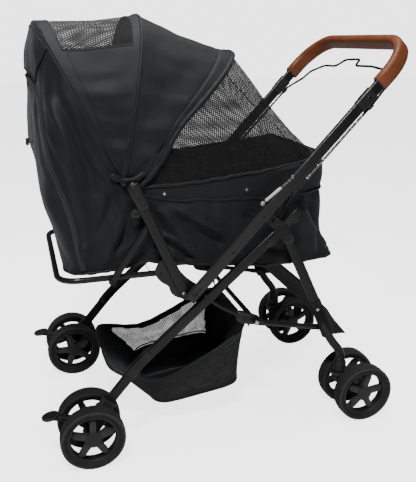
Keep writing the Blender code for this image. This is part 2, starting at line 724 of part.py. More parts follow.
def build_caster(label, side, legs, tyre, rim):
    """A swivelling fork with a stem, its axle and a pair of wheels."""
    x = WHEELBASE - CASTER_TRAIL
    y = side * FRONT_TRACK / 2
    swivel = pivot(f"caster_{label}_swivel", x, y, WHEEL_RADIUS, legs)
    flange = cylinder(x, y, 0.1205, 0.0235, 0.007, "Z", sides=20)
    stem = cylinder(x, y, 0.1290, 0.0056, 0.016, "Z", sides=12)
    neck = cylinder(x, y, 0.1100, 0.0150, 0.018, "Z", sides=16)
    link = bar([(x + 0.002, 0.104), (WHEELBASE, WHEEL_RADIUS)], 0.034, 0.030, y, edge=0.0)
    fork = boolean(flange, [stem, neck, link], "UNION")
    hole = hole_cutter(WHEELBASE, y, WHEEL_RADIUS, 0.0045, 0.06)
    name_part(boolean(fork, [hole], "DIFFERENCE"), f"caster_fork_{label}", BLACK_PLASTIC, swivel)
    axle = cylinder(WHEELBASE, y, WHEEL_RADIUS, 0.004, FRONT_PAIR + 0.006, sides=12)
    name_part(axle, f"caster_axle_{label}", BRIGHT_STEEL, swivel)
    for place, wheel_y, outward in pair_sides(side, FRONT_TRACK / 2, FRONT_PAIR):
        spin = pivot(f"front_{label}_{place}_spin", WHEELBASE, wheel_y, WHEEL_RADIUS, swivel)
        add_wheel(f"front_wheel_{label}_{place}", tyre, rim, WHEELBASE, wheel_y, outward, spin)


def build_braces(upper, lower):
    """The knee braces: one welded frame above the knees and a link below each knee."""
    inner, outer = 0.1990, 0.2160
    links = []
    for side in SIDES.values():
        links.append(bar([BRACE_PIVOT, (0.388, 0.303), KNEE], 0.015, 0.010, side * inner,
                         about=BRACE_PIVOT, edge=0.0))
        links.append(cylinder(BRACE_PIVOT[0], side * 0.2185, BRACE_PIVOT[1], 0.004, 0.040,
                              sides=12))
    cross = tube([(KNEE[0], -0.2030, KNEE[1]), (KNEE[0], 0.2030, KNEE[1])], 0.0065)
    name_part(boolean(links[0], [*links[1:], cross], "UNION"), "upper_brace",
              BLACK_STEEL, upper)
    for label, side in SIDES.items():
        link = bar([LOWER_BRACE_PIVOT, KNEE], 0.015, 0.010, side * outer,
                   holes=[(LOWER_BRACE_PIVOT, 0.0044)], about=LOWER_BRACE_PIVOT, edge=0.0025)
        name_part(link, f"lower_brace_{label}", BLACK_STEEL, lower)


def main():
    clear_scene()
    handle = pivot("handle_hinge", HANDLE_PIVOT[0], 0, HANDLE_PIVOT[1])
    release = pivot("release_slide", HANDLE_PIVOT[0], 0, HANDLE_PIVOT[1], handle)
    legs = pivot("front_leg_hinge", FRONT_LEG_PIVOT[0], 0, FRONT_LEG_PIVOT[1])
    upper = pivot("upper_brace_hinge", BRACE_PIVOT[0], 0, BRACE_PIVOT[1])
    lower = pivot("lower_brace_hinge", LOWER_BRACE_PIVOT[0], 0, LOWER_BRACE_PIVOT[1], legs)
    middle = pivot("middle_bow_hinge", HOOD_PIVOT[0], 0, HOOD_PIVOT[1])
    front = pivot("front_bow_hinge", HOOD_PIVOT[0], 0, HOOD_PIVOT[1], middle)

    tyre = tyre_mesh()
    rim = rim_mesh()
    for obj in list(STROLLER.objects):
        if obj.type == "MESH":
            bpy.data.objects.remove(obj, do_unlink=True)

    build_rear_wheels(tyre, rim)
    for label, side in SIDES.items():
        build_rear_leg(label, side)
        build_axle_housing(label, side)
        build_pedal(label, side)
        build_side_frame(label, side)
        build_front_leg(label, side, legs)
        build_caster(label, side, legs, tyre, rim)
    build_rear_loop()
    build_cabin()
    build_basket()
    build_hood(middle, front)
    build_handle(handle)
    build_release(handle, release)
    build_footrest(legs)
    build_braces(upper, lower)


main()
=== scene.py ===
"""The looks of a pet stroller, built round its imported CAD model. Metres, +Z up.

Places are written as seen in the side view: x from the rear axle, y from the middle
plane and z from the ground. at() turns them into the frame's own coordinates.
The right side is -Y and the left side is +Y.
"""

import itertools
import math

import bmesh
import bpy
import numpy as np
from mathutils import Matrix, Vector, noise


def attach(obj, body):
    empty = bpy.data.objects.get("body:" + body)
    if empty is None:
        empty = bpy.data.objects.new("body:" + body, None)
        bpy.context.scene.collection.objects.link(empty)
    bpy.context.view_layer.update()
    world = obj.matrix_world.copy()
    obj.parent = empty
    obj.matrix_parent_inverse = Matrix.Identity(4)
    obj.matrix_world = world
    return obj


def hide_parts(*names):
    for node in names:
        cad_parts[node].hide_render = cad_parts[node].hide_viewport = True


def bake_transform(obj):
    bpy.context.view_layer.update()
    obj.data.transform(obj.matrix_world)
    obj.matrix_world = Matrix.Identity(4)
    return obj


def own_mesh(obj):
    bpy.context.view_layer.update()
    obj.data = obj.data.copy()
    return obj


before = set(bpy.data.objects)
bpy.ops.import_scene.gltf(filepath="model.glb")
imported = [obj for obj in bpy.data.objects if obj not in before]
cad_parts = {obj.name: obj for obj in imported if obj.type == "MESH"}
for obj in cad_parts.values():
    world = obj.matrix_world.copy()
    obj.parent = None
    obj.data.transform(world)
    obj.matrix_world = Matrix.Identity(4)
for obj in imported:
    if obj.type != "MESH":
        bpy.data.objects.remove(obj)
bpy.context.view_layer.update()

# Driving dimensions, those of the CAD model
AXLE_TO_MIDDLE = 0.3451      # rear axle to the middle of the whole length
WHEEL_RADIUS = 0.077
WHEELBASE = 0.705
REAR_TRACK = 0.463           # between the middles of the rear wheel pairs
REAR_PAIR = 0.0845           # between the two wheels of a rear pair
FRONT_TRACK = 0.4585
FRONT_PAIR = 0.093
CASTER_TRAIL = 0.047
CASTER_X = WHEELBASE - CASTER_TRAIL
FRAME_Y = 0.2317             # middle of the leg tubes
LEG_WIDTH = 0.025
LEG_THICK = 0.012
PLATE_Y = 0.2392             # lock plates, on the legs' outer faces
PIVOT_PLATE_Y = 0.2225       # pivot plates, on the legs' inner faces
HANDLE_Y = 0.248
HANDLE_WIDTH = 0.028
HANDLE_THICK = 0.0125
HANDLE_ANGLE = math.radians(46.4)
HANDLE_TOP = 0.770           # pivot to the grip's middle line
GRIP_START = 0.645
ROD_DROP = 0.0205            # release rods below the handle tubes' middle line

HANDLE_PIVOT = (0.255, 0.397)
FRONT_LEG_PIVOT = (0.492, 0.506)
BRACE_PIVOT = (0.292, 0.372)
KNEE = (0.424, 0.288)
LOWER_BRACE_PIVOT = (0.603, 0.250)
HOOK_PIN = (0.455, 0.552)
PEDAL_PIVOT = (-0.022, 0.100)
HOOD_PIVOT = (0.108, 0.664)

CABIN_HALF = 0.200
HOOD_HALF = 0.2085
BOW_CURVE = 2.7              # roundness of a bow's corners
RIM_CURVE = 7.0              # squarer corners along the cabin's rim
# name: (angle in degrees, height from the pivot, half width)
BOWS = {
    "rear_bow": (115.4, 0.364, 0.184),
    "middle_bow": (78.2, 0.350, 0.192),
    "front_bow": (41.7, 0.3915, 0.200),
}

# Where the visible surfaces differ from the CAD model
HANDLE_CORNER = 0.098
GRIP_WALL = 0.0056
WIRE_RADIUS = 0.00306
BASKET_HALF = 0.163
SHEET_LIFT = 0.0085          # the hood's cloth over its bows
HOOD_START = 0.012           # the hood's cloth begins this far from its pivot

# The camera
CAMERA_PLACE = (-0.1076, -1.5558, 0.9617)
CAMERA_TILT = 17.78
CAMERA_TURN = 16.82
CAMERA_LENS = 47.01
SENSOR_WIDTH = 36.0

ACROSS = Vector((0, 1, 0))
UPWARD = Vector((0, 0, 1))
LEAN = Vector((math.cos(HANDLE_ANGLE), 0, math.sin(HANDLE_ANGLE)))     # up the handle
UNDER = ACROSS.cross(LEAN)                                             # below its plane
SIDES = {"right": -1.0, "left": 1.0}


def at(x, y, z):
    """A place in the side view's measures, in the frame's own coordinates."""
    return Vector((x - AXLE_TO_MIDDLE, y, z))


# Materials ---------------------------------------------------------------------

def add_node(tree, kind, inputs=None, **settings):
    """A node whose inputs are set to values or linked to other nodes' outputs."""
    node = tree.nodes.new("ShaderNode" + kind)
    for key, value in settings.items():
        setattr(node, key, value)
    for key, value in (inputs or {}).items():
        if isinstance(value, bpy.types.NodeSocket):
            tree.links.new(value, node.inputs[key])
        else:
            node.inputs[key].default_value = value
    return node


def start_material(name, roughness, metallic, specular=0.5, sheen=0.0):
    """A new material with its node tree and its shader."""
    material = bpy.data.materials.new(name)
    material.use_nodes = True
    tree = material.node_tree
    shader = tree.nodes["Principled BSDF"]
    shader.inputs["Roughness"].default_value = roughness
    shader.inputs["Metallic"].default_value = metallic
    shader.inputs["Specular IOR Level"].default_value = specular
    shader.inputs["Sheen Weight"].default_value = sheen
    shader.inputs["Sheen Roughness"].default_value = 0.45
    return material, tree, shader


def noise_value(tree, where, scale, detail=3.0):
    node = add_node(tree, "TexNoise", {"Vector": where, "Scale": scale, "Detail": detail})
    return node.outputs["Fac"]


def mapped(tree, value, low, high, from_low=0.3, from_high=0.7):
    """The value moved from one range to another, and held inside it."""
    node = add_node(tree, "MapRange", {
        "Value": value, "From Min": from_low, "From Max": from_high,
        "To Min": low, "To Max": high})
    return node.outputs["Result"]


def tinted(tree, value, dark, light):
    """A colour that goes from dark to light as the value rises."""
    node = add_node(tree, "ValToRGB", {"Fac": value})
    ends = zip(node.color_ramp.elements, (0.3, 0.7), (dark, light))
    for element, position, colour in ends:
        element.position = position
        element.color = (*colour, 1.0)
    return node.outputs["Color"]


def bump(tree, shader, height, strength, distance, under=None):
    """Relief on the shader, over the relief under it where one is given."""
    inputs = {"Height": height, "Strength": strength, "Distance": distance}
    if under is not None:
        inputs["Normal"] = under
    node = add_node(tree, "Bump", inputs)
    tree.links.new(node.outputs["Normal"], shader.inputs["Normal"])
    return node.outputs["Normal"]


def object_places(tree):
    return add_node(tree, "TexCoord").outputs["Object"]


def cloth_places(tree):
    """Places on the cloth in metres along its two threads."""
    return add_node(tree, "TexCoord").outputs["UV"]


def wave(tree, where, pitch, direction, turn=0.0):
    """Even waves of this pitch in metres, from 0 to 1."""
    if turn:
        where = add_node(tree, "Mapping", {
            "Vector": where, "Rotation": (0, 0, math.radians(turn))}).outputs["Vector"]
    node = add_node(tree, "TexWave", {
        "Vector": where, "Scale": math.pi / 10 / pitch, "Distortion": 0.0},
        bands_direction=direction)
    return node.outputs["Fac"]


def combined(tree, operation, a, b):
    return add_node(tree, "Math", {0: a, 1: b}, operation=operation).outputs["Value"]


# A Mix node's colour sockets
MIX_FIRST, MIX_SECOND, MIX_RESULT = 6, 7, 2


def edge_wear_and_highlight(tree, colour, wear_and_highlight, amount):
    """The colour with its sharp outer edges made lighter: rubbed wear on paint and plastic, a
    painted highlight on the tyre's knurl.
    """
    edges = add_node(tree, "NewGeometry").outputs["Pointiness"]
    share = mapped(tree, edges, 0.0, amount, 0.52, 0.60)
    mix = add_node(tree, "Mix", {"Factor": share}, data_type="RGBA")
    tree.links.new(colour, mix.inputs[MIX_FIRST])
    mix.inputs[MIX_SECOND].default_value = (*wear_and_highlight, 1.0)
    return mix.outputs[MIX_RESULT]


def finish(tree, shader, colour, share, roughness):
    """The colour, and a roughness that goes from its first to its second end with share."""
    tree.links.new(colour, shader.inputs["Base Color"])
    tree.links.new(mapped(tree, share, *roughness), shader.inputs["Roughness"])


def hard_surface(name, specular, spots, colours, wear_and_highlight, gloss_scale, roughness):
    """A painted or moulded surface with lighter edges, which still needs its own bumps.

    spots holds the scale and detail of its colour's noise. wear_and_highlight holds the colour of
    its
    edges and how much they are lightened: rubbed wear on paint and plastic, a painted highlight on
    the tyre.
    """
    material, tree, shader = start_material(name, roughness[0], 0.0, specular)
    where = object_places(tree)
    colour = tinted(tree, noise_value(tree, where, *spots), *colours)
    finish(tree, shader, edge_wear_and_highlight(tree, colour, *wear_and_highlight),
           noise_value(tree, where, gloss_scale), roughness)
    return material, tree, shader, where


def powder_coat():
    material, tree, shader, where = hard_surface(
        "powder_coat", 0.26, (30.0, 3.0), ((0.0040, 0.0040, 0.0042), (0.0060, 0.0060, 0.0063)),
        ((0.05, 0.05, 0.052), 0.5), 18.0, (0.22, 0.32))
    bump(tree, shader, noise_value(tree, where, 900.0), 0.10, 0.0003)
    return material


def moulded_plastic(name, roughness, specular, colours):
    material, tree, shader, where = hard_surface(
        name, specular, (25.0, 3.0), colours, ((0.06, 0.06, 0.062), 0.5), 40.0,
        (roughness, roughness + 0.16))
    grain = add_node(tree, "TexVoronoi", {"Vector": where, "Scale": 1100.0})
    bump(tree, shader, grain.outputs["Distance"], 0.25, 0.0003)
    return material


def tyre_rubber():
    # The lighter pointy edges here are a painted highlight on the knurl's raised points, which
    # leaves its grooves painted darker.
    material, tree, shader, where = hard_surface(
        "tyre_rubber", 0.35, (60.0, 6.0), ((0.008, 0.008, 0.0084), (0.014, 0.014, 0.0146)),
        ((0.09, 0.09, 0.092), 0.9), 90.0, (0.66, 0.86))
    bump(tree, shader, noise_value(tree, where, 700.0, 5.0), 0.3, 0.0004)
    return material


def bare_metal(name, colours, roughness, stretch, scale, relief):
    """Bare metal with spots, or with drawing marks where stretch pulls them long."""
    material, tree, shader = start_material(name, roughness[0], 1.0)
    places = add_node(tree, "Mapping", {"Vector": object_places(tree), "Scale": stretch})
    spots = noise_value(tree, places.outputs["Vector"], scale)
    finish(tree, shader, tinted(tree, spots, *colours), spots, roughness)
    bump(tree, shader, spots, relief, 0.0002)
    return material


def woven_fabric(name, dark, light, sheen=0.12, thread=0.0009, gloss=0.58):
    """A plain weave: warp over weft, with uneven yarns and a soft nap."""
    material, tree, shader = start_material(name, gloss, 0.0, 0.27, sheen)
    shader.inputs["Sheen Tint"].default_value = (0.90, 0.95, 1.0, 1.0)
    where = cloth_places(tree)
    mottle = noise_value(tree, where, 22.0, 6.0)
    yarns = noise_value(tree, where, 700.0, 2.0)
    blotch = combined(tree, "ADD", combined(tree, "MULTIPLY", mottle, 0.7),
                      combined(tree, "MULTIPLY", yarns, 0.3))
    finish(tree, shader, tinted(tree, blotch, dark, light), yarns, (gloss - 0.08, gloss + 0.08))
    weave = combined(tree, "MULTIPLY", wave(tree, where, thread, "X"),
                     wave(tree, where, thread, "Y"))
    under = bump(tree, shader, mottle, 0.25, 0.004)
    bump(tree, shader, weave, 0.45, 0.0004, under)
    return material


def open_mesh(name, dark, light, openness, pitch, ribs=0.0):
    """A knitted net, whose widest gaps let this share of the light through."""
    material, tree, shader = start_material(name, 0.75, 0.0, 0.2)
    where = cloth_places(tree)
    tree.links.new(tinted(tree, noise_value(tree, where, 60.0), dark, light),
                   shader.inputs["Base Color"])
    net = combined(tree, "MAXIMUM", wave(tree, where, pitch, "X", 35.0),
                   wave(tree, where, pitch, "X", -35.0))
    net = mapped(tree, net, 1.0 - openness, 1.0, 0.15, 0.95)
    broad = noise_value(tree, where, 35.0, 2.0)
    net = combined(tree, "ADD", net, mapped(tree, broad, -0.05, 0.05))
    if ribs:
        rib = wave(tree, where, ribs, "X")
        net = combined(tree, "ADD", net, mapped(tree, rib, -0.06, 0.10, 0.2, 0.9))
    tree.links.new(combined(tree, "MINIMUM", net, 1.0), shader.inputs["Alpha"])
    bump(tree, shader, net, 0.3, 0.0004)
    return material


def leather():
    material, tree, shader = start_material("brown_leather", 0.5, 0.0, 0.4)
    where = object_places(tree)
    patches = noise_value(tree, where, 28.0, 5.0)
    colour = tinted(tree, patches, (0.140, 0.036, 0.0105), (0.200, 0.054, 0.0170))
    finish(tree, shader, colour, patches, (0.44, 0.58))
    grain = add_node(tree, "TexVoronoi", {"Vector": where, "Scale": 620.0})
    under = bump(tree, shader, noise_value(tree, where, 140.0), 0.2, 0.0008)
    bump(tree, shader, grain.outputs["Distance"], 0.4, 0.0004, under)
    return material


DARK_MOULDING = ((0.0075, 0.0075, 0.0078), (0.012, 0.012, 0.0125))
WHITE_MOULDING = ((0.62, 0.62, 0.60), (0.80, 0.80, 0.78))
TENT_THREAD = ((0.006, 0.006, 0.0065), (0.011, 0.011, 0.0118))
BASKET_THREAD = ((0.018, 0.018, 0.019), (0.032, 0.032, 0.034))

STEEL = powder_coat()
PLASTIC = moulded_plastic("moulded_plastic", 0.42, 0.36, DARK_MOULDING)
MATT_PLASTIC = moulded_plastic("matt_plastic", 0.74, 0.12, DARK_MOULDING)
WHITE_SLEEVE = moulded_plastic("white_sleeve", 0.42, 0.36, WHITE_MOULDING)
RUBBER = tyre_rubber()
ZINC = bare_metal("zinc_steel", ((0.42, 0.42, 0.43), (0.66, 0.66, 0.67)), (0.22, 0.38),
                  (20.0, 300.0, 20.0), 8.0, 0.15)
WIRE = bare_metal("dark_wire", ((0.016, 0.016, 0.0165), (0.035, 0.035, 0.036)), (0.28, 0.42),
                  (1.0, 1.0, 1.0), 120.0, 0.1)
FABRIC = woven_fabric("black_weave", (0.0043, 0.0049, 0.0062), (0.0077, 0.0088, 0.0110))
BOARD = woven_fabric("floor_lining", (0.007, 0.007, 0.0075), (0.011, 0.011, 0.0115),
                     0.1, 0.0009, 0.75)
BINDING = woven_fabric("binding_tape", (0.0052, 0.0056, 0.0064), (0.0092, 0.0098, 0.0110),
                       0.15, 0.0014)
ZIP = woven_fabric("zip_tape", (0.014, 0.0145, 0.016), (0.024, 0.0245, 0.027), 0.2, 0.0022)
TAN_THREAD = woven_fabric("tan_thread", (0.10, 0.030, 0.010), (0.16, 0.05, 0.018), 0.2, 0.0006)
NET = open_mesh("tent_net", *TENT_THREAD, 0.62, 0.0048)
BASKET_NET = open_mesh("basket_net", *BASKET_THREAD, 0.26, 0.0034, 0.0046)
LEATHER = leather()


# Shapes ------------------------------------------------------------------------

class Shape:
    """Points and faces, gathered until they become one piece."""

    def __init__(self):
        self.verts = []
        self.faces = []

    def add(self, verts, faces):
        first = len(self.verts)
        self.verts.extend(Vector(v) for v in verts)
        self.faces.extend(tuple(first + i for i in face) for face in faces)
        return self

    def join(self, *others):
        for other in others:
            self.add(other.verts, other.faces)
        return self


def skin(rings, closed=False):
    """A surface through rings of points that all have the same number of points."""
    count = len(rings[0])
    faces = []
    for a in range(len(rings) if closed else len(rings) - 1):
        b = (a + 1) % len(rings)
        for i in range(count):
            j = (i + 1) % count
            faces.append((a * count + i, a * count + j, b * count + j, b * count + i))
    if not closed:
        last = (len(rings) - 1) * count
        faces.append(tuple(reversed(range(count))))
        faces.append(tuple(range(last, last + count)))
    return Shape().add([p for ring in rings for p in ring], faces)


def smooth_path(points, radius, steps=5):
    """The points with each inner corner rounded."""
    pts = [Vector(p) for p in points]
    path = [pts[0]]
    for before, corner, after in zip(pts, pts[1:], pts[2:]):
        reach_in = min(radius, (corner - before).length * 0.49)
        reach_out = min(radius, (after - corner).length * 0.49)
        start = corner + (before - corner).normalized() * reach_in
        end = corner + (after - corner).normalized() * reach_out
        for i in range(steps + 1):
            t = i / steps
            path.append(start * (1 - t) ** 2 + corner * 2 * t * (1 - t) + end * t * t)
    path.append(pts[-1])
    return path


def rounded_rect(width, thick, radius, steps=3):
    """A section's points: width square to the path in its plane, thick across it."""
    points = []
    for quarter, (sx, sy) in enumerate(((1, 1), (-1, 1), (-1, -1), (1, -1))):
        cx = sx * (width / 2 - radius)
        cy = sy * (thick / 2 - radius)
        for i in range(steps + 1):
            angle = math.radians(90 * quarter + 90 * i / steps)
            points.append((cx + radius * math.cos(angle), cy + radius * math.sin(angle)))
    return points


def circle(radius, sides):
    """A round section's points."""
    turns = [2 * math.pi * i / sides for i in range(sides)]
    return [(radius * math.cos(t), radius * math.sin(t)) for t in turns]


ROUND_END = (1.0, 0.92, 0.7, 0.38)      # how far out along its reach each ring of an end lies


def heading(path, i):
    """The way a path goes at its point i."""
    return (path[min(i + 1, len(path) - 1)] - path[max(i - 1, 0)]).normalized()


def sweep(path, section, across, reach=0.0, sizes=None):
    """A section swept along a path, with ends rounded over reach.

    across is the way the section's thickness faces: one direction, or one per point.
    sizes, where given, scales the section at each point of the path.
    """
    path = [Vector(p) for p in path]
    sizes = sizes or [1.0] * len(path)
    frames = []
    for i, point in enumerate(path):
        along = heading(path, i)
        if isinstance(across, list):
            v = across[i]
        elif i == 0:
            v = Vector(across)
        v = (v - along * v.dot(along)).normalized()
        frames.append((point, along, v.cross(along), v))

    ends = ROUND_END if reach else ()
    stations = [(frames[0], sizes[0], -share) for share in ends]
    stations += [(axes, size, 0.0) for axes, size in zip(frames, sizes)]
    stations += [(frames[-1], sizes[-1], share) for share in reversed(ends)]
    rings = []
    for (point, along, u_axis, v_axis), size, share in stations:
        shrink = math.sqrt(max(0.0, 1 - share * share)) * 0.96 + 0.04
        flat = 0.6 + 0.4 * shrink
        place = point + along * reach * share
        rings.append([place + u_axis * (u * size * shrink) + v_axis * (w * size * flat)
                      for u, w in section])
    return skin(rings)


def tube(path, radius, sides, across=UPWARD):
    return sweep(path, circle(radius, sides), across, radius * 0.4)


def mirrored(profile):
    """Half a profile, with its other half after it."""
    return profile + [(radius, -reach) for radius, reach in reversed(profile)]


def turned(profile, centre, along=ACROSS, steps=32, closed=False):
    """A profile of (radius, distance along the axis) turned about the axis."""
    along = Vector(along).normalized()
    first = along.orthogonal().normalized()
    second = along.cross(first)
    rings = []
    for radius, reach in profile:
        middle = Vector(centre) + along * reach
        rings.append([middle + (first * math.cos(t) + second * math.sin(t)) * radius
                      for t in (2 * math.pi * i / steps for i in range(steps))])
    return skin(rings, closed=closed)


def softened(outline, rounds):
    """The outline with its corners cut, more roundly with each round."""
    for _ in range(rounds):
        cut = []
        for a, b in zip(outline, outline[1:] + outline[:1]):
            cut.append((a[0] * 0.75 + b[0] * 0.25, a[1] * 0.75 + b[1] * 0.25))
            cut.append((a[0] * 0.25 + b[0] * 0.75, a[1] * 0.25 + b[1] * 0.75))
        outline = cut
    return outline


def plate(outline, y, thickness, edge):
    """A flat outline in the side view, with rounded edges."""
    pts = [Vector(p) for p in outline]
    area = sum(a.x * b.y - b.x * a.y for a, b in zip(pts, pts[1:] + pts[:1]))
    if area < 0:
        pts.reverse()
    inset = []
    for i, point in enumerate(pts):
        along = ((point - pts[i - 1]).normalized()
                 + (pts[(i + 1) % len(pts)] - point).normalized())
        inward = Vector((-along.y, along.x)).normalized()
        inset.append(point + inward * edge)
    half = thickness / 2
    rings = [
        [at(p.x, y + shift, p.y) for p in ring]
        for ring, shift in ((inset, -half), (pts, edge - half), (pts, half - edge), (inset, half))
    ]
    return skin(rings)


def rivet(place, outward, radius=0.0042, height=0.0022):
    """A domed rivet head that faces outward."""
    profile = [(radius, -0.001), (radius, height * 0.3), (radius * 0.88, height * 0.62),
               (radius * 0.55, height * 0.93), (radius * 0.15, height)]
    return turned(profile, place, outward, 16)


def pin(place, y, radius, half):
    """A plain pin across the stroller, at a place in the side view."""
    return turned([(radius, -half), (radius, half)], at(place[0], y, place[1]), ACROSS, 16)


def new_object(name, data):
    """An object with this mesh, lamp or camera, in the scene."""
    obj = bpy.data.objects.new(name, data)
    bpy.context.scene.collection.objects.link(obj)
    return obj


def make_object(name, shape, material, sharp=38):
    """The shape as an object, smooth except where faces meet by more than sharp degrees."""
    mesh = bpy.data.meshes.new(name)
    mesh.from_pydata(shape.verts, [], shape.faces)
    bm = bmesh.new()
    bm.from_mesh(mesh)
    bmesh.ops.recalc_face_normals(bm, faces=bm.faces)
    bm.to_mesh(mesh)
    bm.free()
    mesh.shade_smooth()
    mesh.set_sharp_from_angle(angle=math.radians(sharp))
    mesh.materials.append(material)
    return new_object(name, mesh)


def piece(name, shape, material, body, replaces=(), sharp=38):
    """A finished piece that moves with a body and stands for CAD nodes."""
    obj = make_object(name, shape, material, sharp)
    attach(obj, body)
    if replaces:
        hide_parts(*replaces)
    return obj


def side_path(points, y):
    return [at(x, y, z) for x, z in points]


def flat_bar(points, width, thick, y, radius, bend=0.02, reach=None, steps=3):
    """A flat-oval tube or bar along a line in the side view, with round ends."""
    path = smooth_path(side_path(points, y), bend)
    reach = width * 0.5 if reach is None else reach
    section = rounded_rect(width, thick, min(radius, thick / 2 - 0.0001), steps)
    return sweep(path, section, ACROSS, reach)


def bare_node(name, material):
    """A CAD node that is seen as it is, with a finished material."""
    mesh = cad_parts[name].data
    mesh.materials.clear()
    mesh.materials.append(material)


# Wheels ------------------------------------------------------------------------

TYRE_STEPS = 336
TREAD_GROOVES = 84           # round the tyre, each way
TREAD_PITCH = 0.0066
TREAD_DEPTH = 0.0020
TREAD_EDGE = 0.0757          # grooves are cut where the tyre's radius is above this
SPOKES = 5


def tyre_shape():
    """A tyre with a square shoulder and a crown knurled in small diamonds."""
    flank = [(0.0602, 0.0100), (0.0612, 0.0130), (0.0640, 0.0146), (0.0650, 0.0160),
             (0.0660, 0.0155), (0.0670, 0.0166), (0.0722, 0.0170), (0.0746, 0.0169),
             (0.0759, 0.0161)]
    crown = [(WHEEL_RADIUS - 0.0008 * (k / 9) ** 4, 0.00165 * k) for k in range(9, -10, -1)]
    profile = flank + crown + [(radius, -y) for radius, y in reversed(flank)]
    rings = []
    for i in range(TYRE_STEPS):
        turn = 2 * math.pi * i / TYRE_STEPS
        ring = []
        for radius, y in profile:
            around, across = TREAD_GROOVES * turn, 2 * math.pi * y / TREAD_PITCH
            groove = max(math.cos((around + across) / 2) ** 2, math.cos((around - across) / 2) ** 2)
            reach = radius - TREAD_DEPTH * groove * (radius > TREAD_EDGE)
            ring.append((reach * math.cos(turn), y, reach * math.sin(turn)))
        rings.append(ring)
    return skin(rings, closed=True)


def spoke_outline(turn, inner, outer, half, y):
    """A round-ended spoke's outline in the wheel's plane, at y."""
    out = Vector((math.cos(turn), 0, math.sin(turn)))
    beside = Vector((-math.sin(turn), 0, math.cos(turn)))
    tip = [math.radians(-90 + 180 * i / 12) for i in range(13)]
    outline = [out * (outer + half * math.cos(t)) + beside * half * math.sin(t) for t in tip]
    outline += [out * inner + beside * half, out * inner - beside * half]
    return [p + ACROSS * y for p in outline]


def rim_shape():
    """A stepped ring, webs with raised round-ended spokes, and a flat hub cap."""
    ring = [(0.0599, 0.0100), (0.0590, 0.0118), (0.0570, 0.0121), (0.0562, 0.0108),
            (0.0545, 0.0104), (0.0535, 0.0085), (0.0528, 0.0030)]
    shape = turned(mirrored(ring), (0, 0, 0), ACROSS, 96, closed=True)
    for i in range(SPOKES):
        turn = math.radians(90 + 360 / SPOKES * i)
        out = Vector((math.cos(turn), 0, math.sin(turn)))
        web = [out * 0.010, out * 0.030, out * 0.045, out * 0.0545]
        shape.join(sweep(web, rounded_rect(0.0105, 0.010, 0.002), ACROSS, 0.0,
                         [1.1, 0.95, 1.0, 1.25]))
        shape.join(skin([spoke_outline(turn, 0.012, 0.0425, half, y) for half, y in (
            (0.0074, 0.0030), (0.0074, -0.0088), (0.0068, -0.0100), (0.0058, -0.0104))]))
    shape.join(turned([
        (0.0070, 0.0125), (0.0130, 0.0120), (0.0150, 0.0100), (0.0160, -0.0060),
        (0.0196, -0.0075), (0.0200, -0.0100), (0.0196, -0.0122), (0.0184, -0.0130),
        (0.0172, -0.0127), (0.0160, -0.0130), (0.0080, -0.0136), (0.0010, -0.0138),
    ], (0, 0, 0), ACROSS, 48))
    return shape


def build_wheels():
    """Each wheel's tyre and rim, turned so that its hub cap faces away from its twin."""
    masters = [make_object(part + "_master", shape, material) for part, shape, material in (
        ("tyre", tyre_shape(), RUBBER), ("rim", rim_shape(), PLASTIC))]
    meshes = [master.data for master in masters]
    for master in masters:
        bpy.data.objects.remove(master)
    phases = {"rear_right": -12, "rear_left": 27, "front_right": -21, "front_left": 20}
    ends = {"rear": (0.0, REAR_TRACK, REAR_PAIR), "front": (WHEELBASE, FRONT_TRACK, FRONT_PAIR)}
    twins = {"inner": -1, "outer": 1}
    for end, label, place in itertools.product(ends, SIDES, twins):
        x, track, spacing = ends[end]
        side, sign = SIDES[label], twins[place]
        body = f"{end}_wheel_{label}_{place}"
        phase = math.radians(phases[f"{end}_{label}"] + 11 * sign)
        turn = 0.0 if side * sign < 0 else math.pi
        where = at(x, side * (track + sign * spacing) / 2, WHEEL_RADIUS)
        for part, material, master_mesh in zip(("tyre", "rim"), (RUBBER, PLASTIC), meshes):
            mesh = master_mesh.copy()
            mesh.transform(Matrix.Translation(where) @ Matrix.Rotation(turn, 4, "Z")
                           @ Matrix.Rotation(-phase, 4, "Y"))
            obj = new_object(f"{body}_{part}_detail", mesh)
            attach(obj, body)
            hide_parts(f"{body}_{part}")


# Frame -------------------------------------------------------------------------

def build_rear_leg(label, side):
    """The rear leg's tube and the sleeve near its foot."""
    y = side * FRAME_Y
    leg = flat_bar([(0.051, 0.1465), (0.122, 0.228), (0.506, 0.558)], LEG_WIDTH, LEG_THICK, y,
                   0.0036, 0.03)
    piece(f"rear_leg_tube_{label}", leg, STEEL, "chassis", [f"rear_leg_{label}"])
    sleeve = flat_bar([(0.096, 0.1995), (0.122, 0.229), (0.150, 0.2535)], LEG_WIDTH + 0.0016,
                      LEG_THICK + 0.0022, y, 0.004, 0.03, 0.001)
    piece(f"rear_leg_sleeve_{label}", sleeve, STEEL, "chassis")


